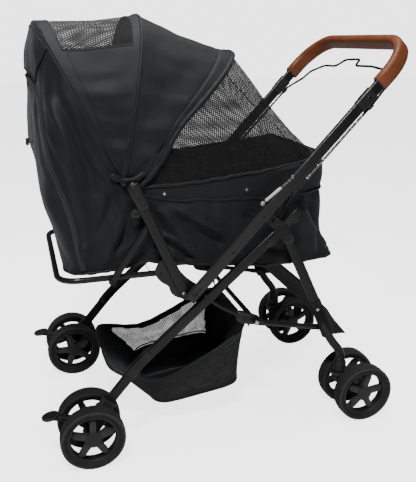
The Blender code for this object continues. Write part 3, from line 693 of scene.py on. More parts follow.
def build_axle_housing(label, side):
    """The moulded block between the rear wheels, its collar for the leg, and its ears."""
    y = side * REAR_TRACK / 2
    shape = Shape()
    blocks = (
        ([(0.0, WHEEL_RADIUS), (0.010, 0.090), (0.0330, 0.1230)], 0.0370, 0.0330, 0.006, 0.004),
        ([(0.0295, 0.1180), (0.0475, 0.1420)], 0.0345, 0.0225, 0.005, 0.002),
        ([(0.0445, 0.1380), (0.0490, 0.1440)], 0.0375, 0.0255, 0.005, 0.0012),
    )
    for line, width, thick, radius, reach in blocks:
        shape.join(flat_bar(line, width, thick, y, radius, 0.012, reach, 4))
    barrel = [(0.0105, -0.0270), (0.0120, -0.0262), (0.0165, -0.0245), (0.0185, -0.0200)]
    shape.join(turned(mirrored(barrel), at(0, y, WHEEL_RADIUS)))
    for offset in (-0.0150, 0.0150):
        shape.join(flat_bar([(0.002, 0.084), PEDAL_PIVOT], 0.0145, 0.0035, y + offset, 0.0012))
    shape.join(pin(PEDAL_PIVOT, y, 0.0030, 0.0185))
    for rib in (-0.011, 0.0, 0.011):
        shape.join(flat_bar([(0.016, 0.080), (0.034, 0.108)], 0.008, 0.002, y + rib, 0.0008))
    piece(f"axle_housing_shell_{label}", shape, PLASTIC, "chassis", [f"axle_housing_{label}"])


def build_pedal(label, side):
    """The brake pedal: an oval pad with a raised rim on a ribbed arm."""
    y = side * REAR_TRACK / 2
    shape = Shape()
    arm = [PEDAL_PIVOT, (-0.040, 0.1085), (-0.060, 0.1150), (-0.086, 0.1215)]
    shape.join(flat_bar(arm, 0.012, 0.0175, y, 0.003, 0.01, 0.005))
    for offset in (-0.0065, 0.0065):
        shape.join(flat_bar([(-0.030, 0.1005), (-0.058, 0.1110)], 0.010, 0.0025, y + offset, 0.001))
    pad = turned([(0.0145, -0.0048), (0.0168, -0.0040), (0.0180, -0.0010), (0.0178, 0.0020),
                  (0.0168, 0.0036), (0.0150, 0.0038), (0.0140, 0.0030), (0.0060, 0.0034),
                  (0.0005, 0.0036)], (0, 0, 0), UPWARD, 40)
    tilt = Matrix.Rotation(math.radians(-9), 4, "Y") @ Matrix.Diagonal((1.16, 0.97, 1, 1))
    pad.verts = [at(-0.091, y, 0.1245) + tilt @ v for v in pad.verts]
    shape.join(pad)
    piece(f"brake_pedal_shell_{label}", shape, PLASTIC, f"pedal_{label}",
          [f"brake_pedal_{label}"])


def build_canopy_arm(label, side):
    """The arm that carries the hood, with the bracket at its top."""
    y = side * FRAME_Y
    arm = flat_bar([(0.239, 0.389), (0.1235, 0.656)], 0.0235, LEG_THICK, y, 0.0036)
    arm.join(turned([(0.0085, -0.0075), (0.0092, -0.0060), (0.0092, -0.0050), (0.0085, -0.0040)],
                    at(HOOD_PIVOT[0], side * 0.2200, HOOD_PIVOT[1]), ACROSS * side))
    arm.join(pin(HOOD_PIVOT, side * 0.1965, 0.0030, 0.018))
    piece(f"canopy_arm_tube_{label}", arm, STEEL, "chassis", [f"canopy_arm_{label}"])
    bracket = flat_bar([(0.1455, 0.6060), (0.1215, 0.6605)], 0.0265, LEG_THICK + 0.0030, y,
                       0.004, reach=0.003)
    tab = softened([(0.116, 0.584), (0.140, 0.585), (0.142, 0.606), (0.118, 0.604)], 2)
    bracket.join(plate(tab, side * 0.2265, 0.003, 0.0008))
    piece(f"canopy_bracket_{label}", bracket, STEEL, "chassis")


def build_plates(label, side):
    """The half-disc plate at the handle's pivot and the hooked lock plate in front."""
    outline = [
        (0.166, 0.447), (0.171, 0.466), (0.183, 0.479), (0.198, 0.483), (0.214, 0.474),
        (0.232, 0.440), (0.266, 0.411), (0.305, 0.389), (0.305, 0.362), (0.287, 0.356),
        (0.246, 0.373), (0.214, 0.385), (0.203, 0.398), (0.200, 0.414), (0.182, 0.424),
    ]
    shape = plate(softened(outline, 2), side * PIVOT_PLATE_Y, 0.004, 0.0010)
    shape.join(pin(HANDLE_PIVOT, side * 0.2395, 0.0040, 0.017))
    shape.join(rivet(at(HANDLE_PIVOT[0], side * 0.2555, HANDLE_PIVOT[1]), ACROSS * side,
                     0.0072, 0.0030))
    piece(f"pivot_plate_steel_{label}", shape, STEEL, "chassis", [f"pivot_plate_{label}"])

    outline = [
        (0.432, 0.497), (0.438, 0.489), (0.452, 0.493), (0.470, 0.510), (0.480, 0.496),
        (0.492, 0.4915), (0.505, 0.498), (0.505, 0.514), (0.489, 0.529), (0.510, 0.549),
        (0.510, 0.560), (0.498, 0.564), (0.480, 0.546), (0.467, 0.560), (0.455, 0.566),
        (0.430, 0.585), (0.416, 0.583), (0.414, 0.567), (0.447, 0.541), (0.457, 0.525),
    ]
    shape = plate(softened(outline, 1), side * PLATE_Y, 0.0024, 0.0006)
    shape.join(turned([(0.0034, -0.0065), (0.0036, 0.0065)],
                      at(HOOK_PIN[0], side * 0.2455, HOOK_PIN[1]), ACROSS, 16))
    shape.join(rivet(at(HOOK_PIN[0], side * 0.2505, HOOK_PIN[1]), ACROSS * side, 0.0052, 0.0024))
    latch = [(0.482, 0.548), (0.512, 0.576)]
    shape.join(flat_bar(latch, 0.017, 0.006, side * 0.2440, 0.0012, reach=0.002))
    lever = [(0.470, 0.561), (0.478, 0.600), (0.4835, 0.640)]
    shape.join(flat_bar(lever, 0.010, 0.003, side * 0.2260, 0.001, 0.03))
    piece(f"lock_plate_steel_{label}", shape, STEEL, "chassis", [f"lock_plate_{label}"])


def build_strut(label, side):
    """The flat bar from the hood's arm down to the loop behind the cabin."""
    shape = flat_bar([(0.155, 0.561), (0.069, 0.438)], 0.016, 0.0065, side * 0.2215, 0.0028)
    piece(f"strut_bar_{label}", shape, STEEL, "chassis", [f"strut_{label}"])


def build_rear_loop():
    """The level tube loop behind the cabin."""
    half, level, back, corner = 0.210, 0.4445, -0.049, 0.055
    route = [(0.186, -half, level), (back, -half, level), (back, half, level), (0.186, half, level)]
    path = smooth_path([at(*p) for p in route], corner, 14)
    piece("rear_loop_tube", tube(path, 0.007, 16), STEEL, "chassis", ["rear_loop"])


def build_front_leg(label, side):
    """The front leg with its round foot, the footrest's bracket and the caster's collar."""
    y = side * FRAME_Y
    shape = flat_bar([FRONT_LEG_PIVOT, (0.519, 0.450), (0.578, 0.324), (0.606, 0.250)],
                     LEG_WIDTH, LEG_THICK, y, 0.0036, 0.03)
    route = [(0.598, y, 0.268), (0.628, y, 0.214), (0.6585, y, 0.178), (0.6585, y, 0.1505)]
    shape.join(tube(smooth_path([at(*p) for p in route], 0.026, 7), 0.0112, 18, ACROSS))
    shape.join(pin(LOWER_BRACE_PIVOT, side * 0.2190, 0.0040, 0.010))
    piece(f"front_leg_tube_{label}", shape, STEEL, "front_legs", [f"front_leg_{label}"])

    sleeve = [(0.5730, 0.3330), (0.5960, 0.2820), (0.6150, 0.2360)]
    shape = flat_bar(sleeve, 0.0300, 0.0175, y, 0.006, 0.03, 0.002, 4)
    fin = softened([(0.585, 0.322), (0.603, 0.318), (0.625, 0.282), (0.655, 0.247),
                    (0.667, 0.232), (0.650, 0.236), (0.628, 0.234), (0.606, 0.248)], 1)
    shape.join(plate(fin, y, 0.0165, 0.0035))
    piece(f"footrest_bracket_{label}", shape, MATT_PLASTIC, "front_legs")

    y = side * FRONT_TRACK / 2
    collar = turned([
        (0.0100, 0.0255), (0.0125, 0.0240), (0.0135, 0.0150), (0.0160, 0.0120), (0.0168, 0.0080),
        (0.0168, -0.0060), (0.0180, -0.0080), (0.0180, -0.0105), (0.0165, -0.0110),
    ], at(CASTER_X, y, 0.1390), UPWARD, 36)
    for turn in range(0, 360, 45):
        out = Vector((math.cos(math.radians(turn)), math.sin(math.radians(turn)), 0))
        rib = [at(CASTER_X, y, 0.132) + out * 0.0165, at(CASTER_X, y, 0.150) + out * 0.0152]
        collar.join(sweep(rib, rounded_rect(0.003, 0.003, 0.001, 2), ACROSS, 0.001))
    piece(f"caster_collar_shell_{label}", collar, PLASTIC, "front_legs",
          [f"caster_collar_{label}"])


def build_footrest():
    """The curved board between the front legs, turned forward at its foot."""
    upper = [(0.552, 0.3770), (0.568, 0.3430), (0.586, 0.3110), (0.606, 0.2820), (0.635, 0.2540),
             (0.668, 0.2305)]
    lower = [(0.661, 0.2270), (0.630, 0.2475), (0.601, 0.2765), (0.581, 0.3070), (0.563, 0.3400),
             (0.548, 0.3740)]
    shape = plate([*upper, *lower], 0.0, 2 * 0.2120, 0.0012)
    piece("footrest_board", shape, MATT_PLASTIC, "front_legs", ["footrest"])


def build_caster(label, side):
    """The swivelling fork: a flanged neck, a hooded block between the wheels, its cap."""
    y = side * FRONT_TRACK / 2
    shape = turned([
        (0.0055, 0.0160), (0.0056, 0.0050), (0.0200, 0.0040), (0.0238, 0.0020), (0.0245, -0.0010),
        (0.0238, -0.0035), (0.0175, -0.0060), (0.0160, -0.0120), (0.0150, -0.0220),
    ], at(CASTER_X, y, 0.1205), UPWARD, 40)
    link = [(CASTER_X - 0.002, 0.1080), (CASTER_X + 0.012, 0.1000), (WHEELBASE, WHEEL_RADIUS)]
    shape.join(flat_bar(link, 0.036, 0.030, y, 0.008, 0.014, 0.015, 5))
    barrel = [(0.0110, -0.0305), (0.0130, -0.0295), (0.0165, -0.0240), (0.0175, -0.0180)]
    shape.join(turned(mirrored(barrel), at(WHEELBASE, y, WHEEL_RADIUS)))
    rib = [(CASTER_X - 0.006, 0.0965), (WHEELBASE - 0.008, 0.0650)]
    for offset in (-0.0085, 0.0085):
        shape.join(flat_bar(rib, 0.010, 0.003, y + offset, 0.0012))
    piece(f"caster_fork_shell_{label}", shape, PLASTIC, f"caster_{label}",
          [f"caster_fork_{label}"])


def build_braces():
    """The round braces above and below each knee, and the knees' brackets."""
    inner, outer = 0.1990, 0.2160
    upper = Shape()
    for label, side in SIDES.items():
        route = [at(BRACE_PIVOT[0], side * 0.2040, BRACE_PIVOT[1]), at(0.330, side * 0.200, 0.338),
                 at(0.388, side * inner, 0.304), at(0.410, side * inner, 0.294)]
        upper.join(tube(smooth_path(route, 0.03), 0.0068, 14, ACROSS))
        upper.join(pin(BRACE_PIVOT, side * 0.2185, 0.0040, 0.020))
        bracket = softened([(0.374, 0.304), (0.378, 0.288), (0.400, 0.281), (0.424, 0.276),
                            (0.438, 0.281), (0.440, 0.294), (0.425, 0.301), (0.396, 0.314),
                            (0.380, 0.317)], 2)
        for offset in (-0.00525, 0.00525):
            upper.join(plate(bracket, side * (inner + offset), 0.0022, 0.0007))
        for x, z in ((0.385, 0.303), (0.396, 0.297), (0.408, 0.293)):
            upper.join(rivet(at(x, side * (inner + 0.0066), z), ACROSS * side, 0.0034, 0.0018))
    cross = [at(KNEE[0], -0.2030, KNEE[1]), at(KNEE[0], 0.2030, KNEE[1])]
    upper.join(tube(cross, 0.0065, 16))
    piece("upper_brace_tubes", upper, STEEL, "upper_brace", ["upper_brace"])
    for label, side in SIDES.items():
        y = side * outer
        middle = [at(0.585, y, 0.2535), at(0.440, y, 0.2845)]
        shape = sweep(middle, circle(0.0066, 14), ACROSS, 0.006)
        for start, end in ((LOWER_BRACE_PIVOT, (0.575, 0.2555)), (KNEE, (0.452, 0.2820))):
            shape.join(flat_bar([start, end], 0.0150, 0.0085, y, 0.0030))
        piece(f"lower_brace_tube_{label}", shape, STEEL, "lower_brace", [f"lower_brace_{label}"])
        knee_face = at(KNEE[0], side * (outer + 0.0042), KNEE[1])
        head = rivet(knee_face, ACROSS * side, 0.0060, 0.0030)
        piece(f"knee_rivet_{label}", head, ZINC, "lower_brace")


def build_rivets():
    """The rivet heads on each moving body, dark or bright."""
    face = FRAME_Y + LEG_THICK / 2
    handle_face = HANDLE_Y + HANDLE_THICK / 2
    rows = {
        ("chassis", STEEL, "dark"): [
            (BRACE_PIVOT, face), ((0.122, 0.228), face + 0.0011), ((0.096, 0.204), face + 0.0008),
            ((0.143, 0.616), face + 0.0015), ((0.167, 0.567), face), ((0.214, 0.472), face),
            ((0.227, 0.425), face), ((0.472, 0.528), PLATE_Y + 0.0012),
            ((0.444, 0.505), PLATE_Y + 0.0012), ((0.498, 0.552), 0.2470),
            ((0.129, 0.595), 0.2280), ((0.180, 0.447), 0.2245), ((0.200, 0.458), 0.2245),
            ((0.285, 0.385), face), ((0.069, 0.438), 0.2248), ((0.123, 0.652), face + 0.0015),
            ((0.132, 0.633), face + 0.0015), ((0.119, 0.508), 0.2248),
        ],
        ("chassis", ZINC, "bright"): [((0.232, 0.398), 0.2245)],
        ("front_legs", STEEL, "dark"): [
            (FRONT_LEG_PIVOT, PLATE_Y + 0.0012), ((0.607, 0.256), FRAME_Y + 0.0087),
        ],
        ("front_legs", ZINC, "bright"): [
            ((0.579, 0.3125), FRAME_Y + 0.0087),
        ],
        ("handle", STEEL, "dark"): [
            ((0.266, 0.4085), handle_face), ((0.346, 0.4920), handle_face),
            ((0.420, 0.5700), handle_face), ((0.668, 0.8310), handle_face + 0.003),
        ],
    }
    for (body, material, shade), spots in rows.items():
        shape = Shape()
        two_faced = body != "chassis" or shade == "bright"
        middle_y = HANDLE_Y if body == "handle" else FRAME_Y
        for ((x, z), y), side in itertools.product(spots, SIDES.values()):
            shape.join(rivet(at(x, side * y, z), ACROSS * side))
            if two_faced:
                shape.join(rivet(at(x, side * (2 * middle_y - y), z), -ACROSS * side,
                                 0.0038, 0.0016))
        piece(f"{body}_rivets_{shade}", shape, material, body)


# Handle ------------------------------------------------------------------------

def on_handle(y, up, drop=0.0):
    """A place in the handle's plane: across, up from the pivot, and below the plane."""
    return at(HANDLE_PIVOT[0], y, HANDLE_PIVOT[1]) + LEAN * up + UNDER * drop


def handle_path(first, steps=12):
    """The handle's middle line from right to left, from first up the tube on each side."""
    middle = (HANDLE_Y - HANDLE_CORNER, HANDLE_TOP - HANDLE_CORNER)
    path = [on_handle(-HANDLE_Y, first)]
    corner = []
    for i in range(steps + 1):
        angle = math.pi - math.pi / 2 * i / steps
        corner.append((-middle[0] + HANDLE_CORNER * math.cos(angle),
                       middle[1] + HANDLE_CORNER * math.sin(angle)))
    path += [on_handle(y, up) for y, up in corner]
    path += [on_handle(-middle[0] * share, HANDLE_TOP) for share in (0.6, 0.2, -0.2, -0.6)]
    path += [on_handle(-y, up) for y, up in reversed(corner)]
    path.append(on_handle(HANDLE_Y, first))
    return path


def stitches(points, outward, length, gap, size):
    """Sewn stitches lying along a line of points, each a small raised dash."""
    shape = Shape()
    travelled = 0.0
    goal = 0.0
    start = None
    for i, (a, b) in enumerate(zip(points, points[1:])):
        run = (b - a).length
        out = Vector(outward[i]).normalized()
        while travelled + run >= goal:
            place = a + (b - a) * ((goal - travelled) / max(run, 1e-9))
            if start is None:
                start = place
                goal += length
            else:
                middle = (start + place) / 2 + out * size * 1.6
                shape.join(sweep([start, middle, place], circle(size, 5), out))
                start = None
                goal += gap
        travelled += run
    return shape


def handle_sleeve(side, low, high, extra, radius, reach):
    """A sleeve round one handle tube, this much wider than the tube."""
    line = [on_handle(side * HANDLE_Y, low), on_handle(side * HANDLE_Y, high)]
    section = rounded_rect(HANDLE_THICK + extra, HANDLE_WIDTH + extra, radius, 4)
    return sweep(line, section, UNDER, reach)


def build_handle():
    """The bent tube, its leather grip with a stitched seam, and the guides of the wire."""
    oval = rounded_rect(HANDLE_THICK, HANDLE_WIDTH, 0.0050, 4)
    frame_tube = sweep(handle_path(-0.018), oval, UNDER, 0.0)
    piece("handle_frame_tube", frame_tube, STEEL, "handle", ["handle_tube"])

    wide = rounded_rect(HANDLE_THICK + 2 * GRIP_WALL, HANDLE_WIDTH + 2 * GRIP_WALL, 0.0095, 6)
    path = handle_path(GRIP_START, 20)
    swell = [1.0 + noise.noise(point * 30.0) * 0.018 for point in path]
    grip = sweep(path, wide, UNDER, 0.0022, swell)
    piece("leather_grip", grip, LEATHER, "handle", ["handle_grip"], sharp=60)
    seam, away = [], []
    for i, point in enumerate(path):
        inward = UNDER.cross(heading(path, i)).normalized()
        if inward.dot(on_handle(0, 0.5) - point) < 0:
            inward = -inward
        seam.append(point + UNDER * (HANDLE_WIDTH / 2 + GRIP_WALL - 0.0006) + inward * 0.0025)
        away.append((UNDER * 0.9 + inward * 0.5).normalized())
    piece("grip_stitching", stitches(seam, away, 0.0042, 0.0022, 0.00055), TAN_THREAD, "handle")

    for label, side in SIDES.items():
        end_ring = handle_sleeve(side, GRIP_START - 0.0035, GRIP_START - 0.0005,
                                 0.004, 0.005, 0.0)
        piece(f"grip_end_ring_{label}", end_ring, PLASTIC, "handle")
        up = 0.603
        shape = handle_sleeve(side, up - 0.017, up + 0.017, 0.0044, 0.0055, 0.0015)
        tab = [on_handle(side * HANDLE_Y, up - 0.0150, 0.0190),
               on_handle(side * HANDLE_Y, up - 0.0020, 0.0190)]
        shape.join(sweep(tab, rounded_rect(0.0090, 0.0130, 0.0022), UNDER, 0.0012))
        shape.join(rivet(on_handle(side * (HANDLE_Y + HANDLE_THICK / 2 + 0.0016), up + 0.002),
                         ACROSS * side, 0.0046, 0.0020))
        shape.join(handle_sleeve(side, up - 0.030, up - 0.018, 0.0026, 0.005, 0.001))
        piece(f"rod_guide_shell_{label}", shape, STEEL, "handle", [f"rod_guide_{label}"])


def spring_coil(start, end, radius, wire, turns):
    """A wire wound in a helix round the line from start to end."""
    along = (end - start).normalized()
    first = along.orthogonal().normalized()
    second = along.cross(first)
    steps = turns * 10
    path = []
    for i in range(steps + 1):
        t = 2 * math.pi * i / 10
        centre = start.lerp(end, i / steps)
        path.append(centre + (first * math.cos(t) + second * math.sin(t)) * radius)
    return sweep(path, circle(wire, 6), first)


def build_release():
    """The bent release wire from hook to hook, and the springs on it."""
    low_bends = [(HANDLE_Y, 0.608, ROD_DROP), (0.2235, 0.656, 0.0300), (0.2160, 0.682, 0.0300)]
    across = [
        *low_bends, (0.160, 0.708, 0.030), (0.094, 0.709, 0.030), (0.069, 0.734, 0.030),
        (-0.004, 0.738, 0.030), (-0.003, 0.716, 0.031), (-0.085, 0.718, 0.031),
        (-0.170, 0.708, 0.030), *((-y, up, drop) for y, up, drop in reversed(low_bends)),
    ]
    hook = [(0.266, 0.0335), (0.285, 0.0290), (0.315, ROD_DROP), (0.330, ROD_DROP)]
    left_end = [(HANDLE_Y, up, drop) for up, drop in hook]
    right_end = [(-HANDLE_Y, up, drop) for up, drop in reversed(hook)]
    route = [on_handle(*p) for p in (*left_end, *across, *right_end)]
    wire = tube(smooth_path(route, 0.012, 5), WIRE_RADIUS, 10)
    piece("release_wire_bent", wire, WIRE, "release", ["release_wire"])
    for label, side in SIDES.items():
        low = on_handle(side * HANDLE_Y, 0.375, ROD_DROP)
        high = on_handle(side * HANDLE_Y, 0.565, ROD_DROP)
        coil = spring_coil(low, high, 0.0029, 0.0007, 62)
        washer = turned([(0.0042, -0.0008), (0.0042, 0.0008)], low, LEAN, 16)
        piece(f"rod_spring_{label}", coil.join(washer), ZINC, "release")
        build_return_spring(label, side)


def build_return_spring(label, side):
    """The extension spring beside the handle: a white sleeve, a coil, loops and rivets."""
    ring_at = at(0.4175, side * 0.2520, 0.6035)
    far_at = at(0.4905, side * 0.2520, 0.6585)
    along = (far_at - ring_at).normalized()
    sleeve = tube([ring_at + along * 0.010, ring_at + along * 0.054], 0.0036, 14)
    piece(f"spring_sleeve_{label}", sleeve, WHITE_SLEEVE, "handle")
    metal = tube([ring_at, ring_at + along * 0.010], 0.0011, 8)
    metal.join(spring_coil(ring_at + along * 0.054, far_at - along * 0.006, 0.0026, 0.0006, 7))
    metal.join(tube([far_at - along * 0.008, far_at], 0.0011, 8))
    beside = along.cross(ACROSS)
    for place in (ring_at, far_at):
        loop = [place + along * 0.0045 * math.cos(t) + beside * 0.0045 * math.sin(t)
                for t in (math.radians(30 * i) for i in range(13))]
        metal.join(sweep(loop, circle(0.0011, 8), ACROSS))
        metal.join(rivet(place, ACROSS * side, 0.0032, 0.0022))
    piece(f"return_spring_{label}", metal, ZINC, "handle")
    tab = flat_bar([(0.4175, 0.6035), (0.4330, 0.5890)], 0.013, 0.0022, side * 0.2505, 0.0009)
    piece(f"spring_tab_{label}", tab, STEEL, "handle")


# Cloth -------------------------------------------------------------------------

HOOD_COLUMNS = 190
HOOD_ROWS = 60
ROOF_WINDOW = 0.37           # half the roof window's width, as a share of the hood's half


def fan_point(angle, height, half, turn, roundness):
    """A point on a U that leans at angle about the hood's pivot line, as in the CAD model."""
    reach = height * abs(math.sin(turn)) ** (2 / roundness)
    y = -half * math.copysign(abs(math.cos(turn)) ** (2 / roundness), math.cos(turn))
    lean = math.radians(angle)
    return at(HOOD_PIVOT[0] + reach * math.cos(lean), y, HOOD_PIVOT[1] + reach * math.sin(lean))


def u_line(angle, height, half, roundness, start, count):
    """Points spaced evenly along a U from its right foot to its left foot."""
    first = math.asin(min(1.0, start / height) ** (roundness / 2))
    fine = [fan_point(angle, height, half, first + (math.pi - 2 * first) * i / 1200, roundness)
            for i in range(1201)]
    return evenly(fine, count)


def running(steps, axis=0):
    """The running sum of steps along an axis, from 0."""
    start = np.zeros_like(np.take(steps, [0], axis=axis))
    return np.concatenate([start, np.cumsum(steps, axis=axis)], axis=axis)


def step_lengths(grid, axis):
    """The lengths of a grid's steps, down its columns (axis 0) or along its rows (1)."""
    return np.linalg.norm(np.diff(grid, axis=axis), axis=2)


def evenly(points, count):
    """count + 1 points spaced evenly along a line of points."""
    pts = np.array([tuple(p) for p in points])
    runs = running(np.linalg.norm(np.diff(pts, axis=0), axis=1))
    goals = np.linspace(0.0, runs[-1], count + 1)
    return np.stack([np.interp(goals, runs, pts[:, k]) for k in range(3)], axis=1)


def grid_normals(grid):
    """The grid's unit normals, one per point."""
    across = np.gradient(grid, axis=1)
    down = np.gradient(grid, axis=0)
    normal = np.cross(across, down)
    return normal / np.maximum(np.linalg.norm(normal, axis=2, keepdims=True), 1e-12)


def outward_normals(grid, inside):
    """Normals that point away from a place inside the cloth."""
    normal = grid_normals(grid)
    if ((grid - np.array(inside)) * normal).sum() < 0:
        normal = -normal
    return normal


def ruffle(grid, scales, seed):
    """Smooth noise over a grid's own lengths in metres, from about -1 to 1."""
    across = running(step_lengths(grid, 1), 1)
    across = across - across.mean(axis=1, keepdims=True)
    down = running(step_lengths(grid, 0))
    values = np.zeros(grid.shape[:2])
    for r, c in np.ndindex(values.shape):
        values[r, c] = noise.noise(Vector((across[r, c] / scales[0], down[r, c] / scales[1], seed)))
    return values


def cloth_object(name, grid, material, thickness=0.0012, keep=None, looped=False):
    """A sheet of cloth through a grid of points, with its threads' lengths as UVs."""
    rows, columns = grid.shape[:2]
    span = columns if looped else columns - 1
    faces = []
    for r in range(rows - 1):
        for c in range(span):
            if keep is None or keep[r, c]:
                d = (c + 1) % columns
                faces.append((r * columns + c, r * columns + d,
                              (r + 1) * columns + d, (r + 1) * columns + c))
    mesh = bpy.data.meshes.new(name)
    mesh.from_pydata(grid.reshape(-1, 3).tolist(), [], faces)
    across = running(step_lengths(grid, 1).mean(axis=0))
    down = running(step_lengths(grid, 0).mean(axis=1))
    layer = mesh.uv_layers.new(name="threads")
    for loop in mesh.loops:
        r, c = divmod(loop.vertex_index, columns)
        layer.data[loop.index].uv = (across[c], down[r])
    bm = bmesh.new()
    bm.from_mesh(mesh)
    loose = [v for v in bm.verts if not v.link_faces]
    bmesh.ops.delete(bm, geom=loose, context="VERTS")
    bm.to_mesh(mesh)
    bm.free()
    mesh.shade_smooth()
    mesh.materials.append(material)
    obj = new_object(name, mesh)
    if thickness:
        solid = obj.modifiers.new("cloth_thickness", "SOLIDIFY")
        solid.thickness = thickness
        solid.offset = 0.0
    return obj


def between(low, high, rows):
    """Straight threads between two lines of points."""
    shares = np.linspace(0.0, 1.0, rows + 1)[:, None, None]
    return low[None] * (1 - shares) + high[None] * shares


def ramp(values, start, end):
    """0 below start, 1 above end, smooth between."""
    t = np.clip((values - start) / (end - start), 0.0, 1.0)
    return t * t * (3 - 2 * t)


def piping(line, radius, seed, swell=0.15, sides=10, across=UPWARD):
    """A sewn edge roll along a line, slightly uneven."""
    points = [Vector(p) for p in line]
    sizes = [1.0 + swell * noise.noise(p * 60.0 + Vector((seed, 0, 0))) for p in points]
    return sweep(points, circle(radius, sides), across, radius, sizes)


def binding(name, shape):
    """A sewn edge or tape, in the binding's material."""
    obj = make_object(name, shape, BINDING)
    return obj


def hood_edge(name, shift=0.0, lift=SHEET_LIFT, count=HOOD_COLUMNS):
    """The line of the cloth over a bow, from its right foot to its left foot."""
    angle, height, _ = BOWS[name]
    return u_line(angle + shift, height + lift, HOOD_HALF, BOW_CURVE, HOOD_START, count)


def lateral(grid):
    """0 on the roof's middle line, 1 at either foot."""
    columns = grid.shape[1]
    return np.abs(np.linspace(-1.0, 1.0, columns))[None, :].repeat(grid.shape[0], axis=0)


def hood_panel(low_name, high_name, seed, at_low, band):
    """The grid of a hood panel: slack between its bows, folded near the hinge.

    A hem runs along its low or its high edge, band wide as a share of the panel.
    """
    grid = between(hood_edge(low_name), hood_edge(high_name), HOOD_ROWS)
    down = np.linspace(0.0, 1.0, HOOD_ROWS + 1)[:, None]
    foot = lateral(grid)
    if high_name == "front_bow":
        overhang = 0.034 * ramp(down, 0.30, 1.0) * ramp(foot, 0.62, 0.97)
        grid[..., 0] += 0.85 * overhang
        grid[..., 2] -= 0.50 * overhang
    normal = outward_normals(grid, at(0.15, 0, 0.75))
    slack = np.sin(math.pi * down)
    height = -0.0050 * slack * (1 - 0.5 * foot)
    folds = ruffle(grid, (0.050, 0.30), seed)
    height = height + 0.0150 * slack * ramp(foot, 0.20, 0.70) * folds * (1 - ramp(foot, 0.9, 1.0))
    height = height + 0.0030 * ruffle(grid, (0.020, 0.09), seed + 5) * ramp(foot, 0.3, 0.8) * slack
    height = height + 0.0048 * ruffle(grid, (0.070, 0.10), seed + 9) * slack
    height = height + 0.0020 * ruffle(grid, (0.030, 0.050), seed + 13) * slack
    share = down if at_low else 1 - down
    height = height + 0.0014 * (1 - ramp(share, band - 0.008, band + 0.008))
    height = height - 0.0012 * np.exp(-((share - band - 0.012) / 0.012) ** 2)
    return grid + normal * height[..., None]


def build_hood():
    """The hood's two panels, its roof window, piping, hems, and the rods inside."""
    for name, body in (("rear_bow", "chassis"), ("middle_bow", "middle_bow"),
                       ("front_bow", "front_bow")):
        angle, height, half = BOWS[name]
        rod = u_line(angle, height, half, BOW_CURVE, 0.010, 90)
        shape = tube(rod, 0.0035, 10, ACROSS)
        piece(f"{name}_rod", shape, STEEL, body, [name])

    rear = hood_panel("rear_bow", "middle_bow", 3.0, True, 0.145)
    foot = lateral(rear)[:-1, :-1]
    down = np.linspace(0.0, 1.0, HOOD_ROWS + 1)[:-1, None]
    window = (foot < ROOF_WINDOW) & (down > 0.115) & (down < 0.90)
    cloth = cloth_object("hood_rear_cloth", rear, FABRIC, keep=~window)
    net = cloth_object("roof_window_net", rear, NET, 0.0, keep=window)
    front = hood_panel("middle_bow", "front_bow", 11.0, False, 0.135)
    front_cloth = cloth_object("hood_front_cloth", front, FABRIC)

    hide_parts("hood_rear_panel")
    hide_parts("hood_front_panel")

    columns = np.where(window.any(axis=0))[0]
    rows = np.where(window.any(axis=1))[0]
    left, right, top, bottom = columns[0], columns[-1] + 1, rows[0], rows[-1] + 1
    border = ([rear[top, c] for c in range(left, right)]
              + [rear[r, right] for r in range(top, bottom)]
              + [rear[bottom, c] for c in range(right, left, -1)]
              + [rear[r, left] for r in range(bottom, top, -1)])
    border.append(border[0])
    window_binding = binding("roof_window_binding", piping(border, 0.0016, 1.0, 0.1, 8, ACROSS))

    hood_bends = (
        ((cloth, net, window_binding), "chassis", "middle_bow", "rear_bow", "middle_bow"),
        ((front_cloth,), "middle_bow", "front_bow", "middle_bow", "front_bow"),
    )
    for objects, first_body, second_body, low, high in hood_bends:
        for obj in objects:
            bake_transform(obj)

    rear_roll = piping(hood_edge("rear_bow", 0.0, SHEET_LIFT - 0.001), 0.0030, 2.0)
    piece("rear_bow_piping", rear_roll, FABRIC, "chassis")
    middle_roll = piping(hood_edge("middle_bow", 0.0, SHEET_LIFT - 0.0005), 0.0046, 3.0, 0.12)
    piece("middle_bow_piping", middle_roll, FABRIC, "middle_bow")
    piece("front_bow_hem", piping(front[-1], 0.0068, 4.0, 0.25, 12), FABRIC, "front_bow")
    for label, side in SIDES.items():
        spots = [(0.082, 0.680), (0.094, 0.671), (0.112, 0.668), (0.130, 0.668), (0.148, 0.680)]
        gather = piping(smooth_path(side_path(spots, side * 0.2145), 0.008), 0.0064, 6.0, 0.35, 12)
        piece(f"hood_hinge_gather_{label}", gather, FABRIC, "chassis")


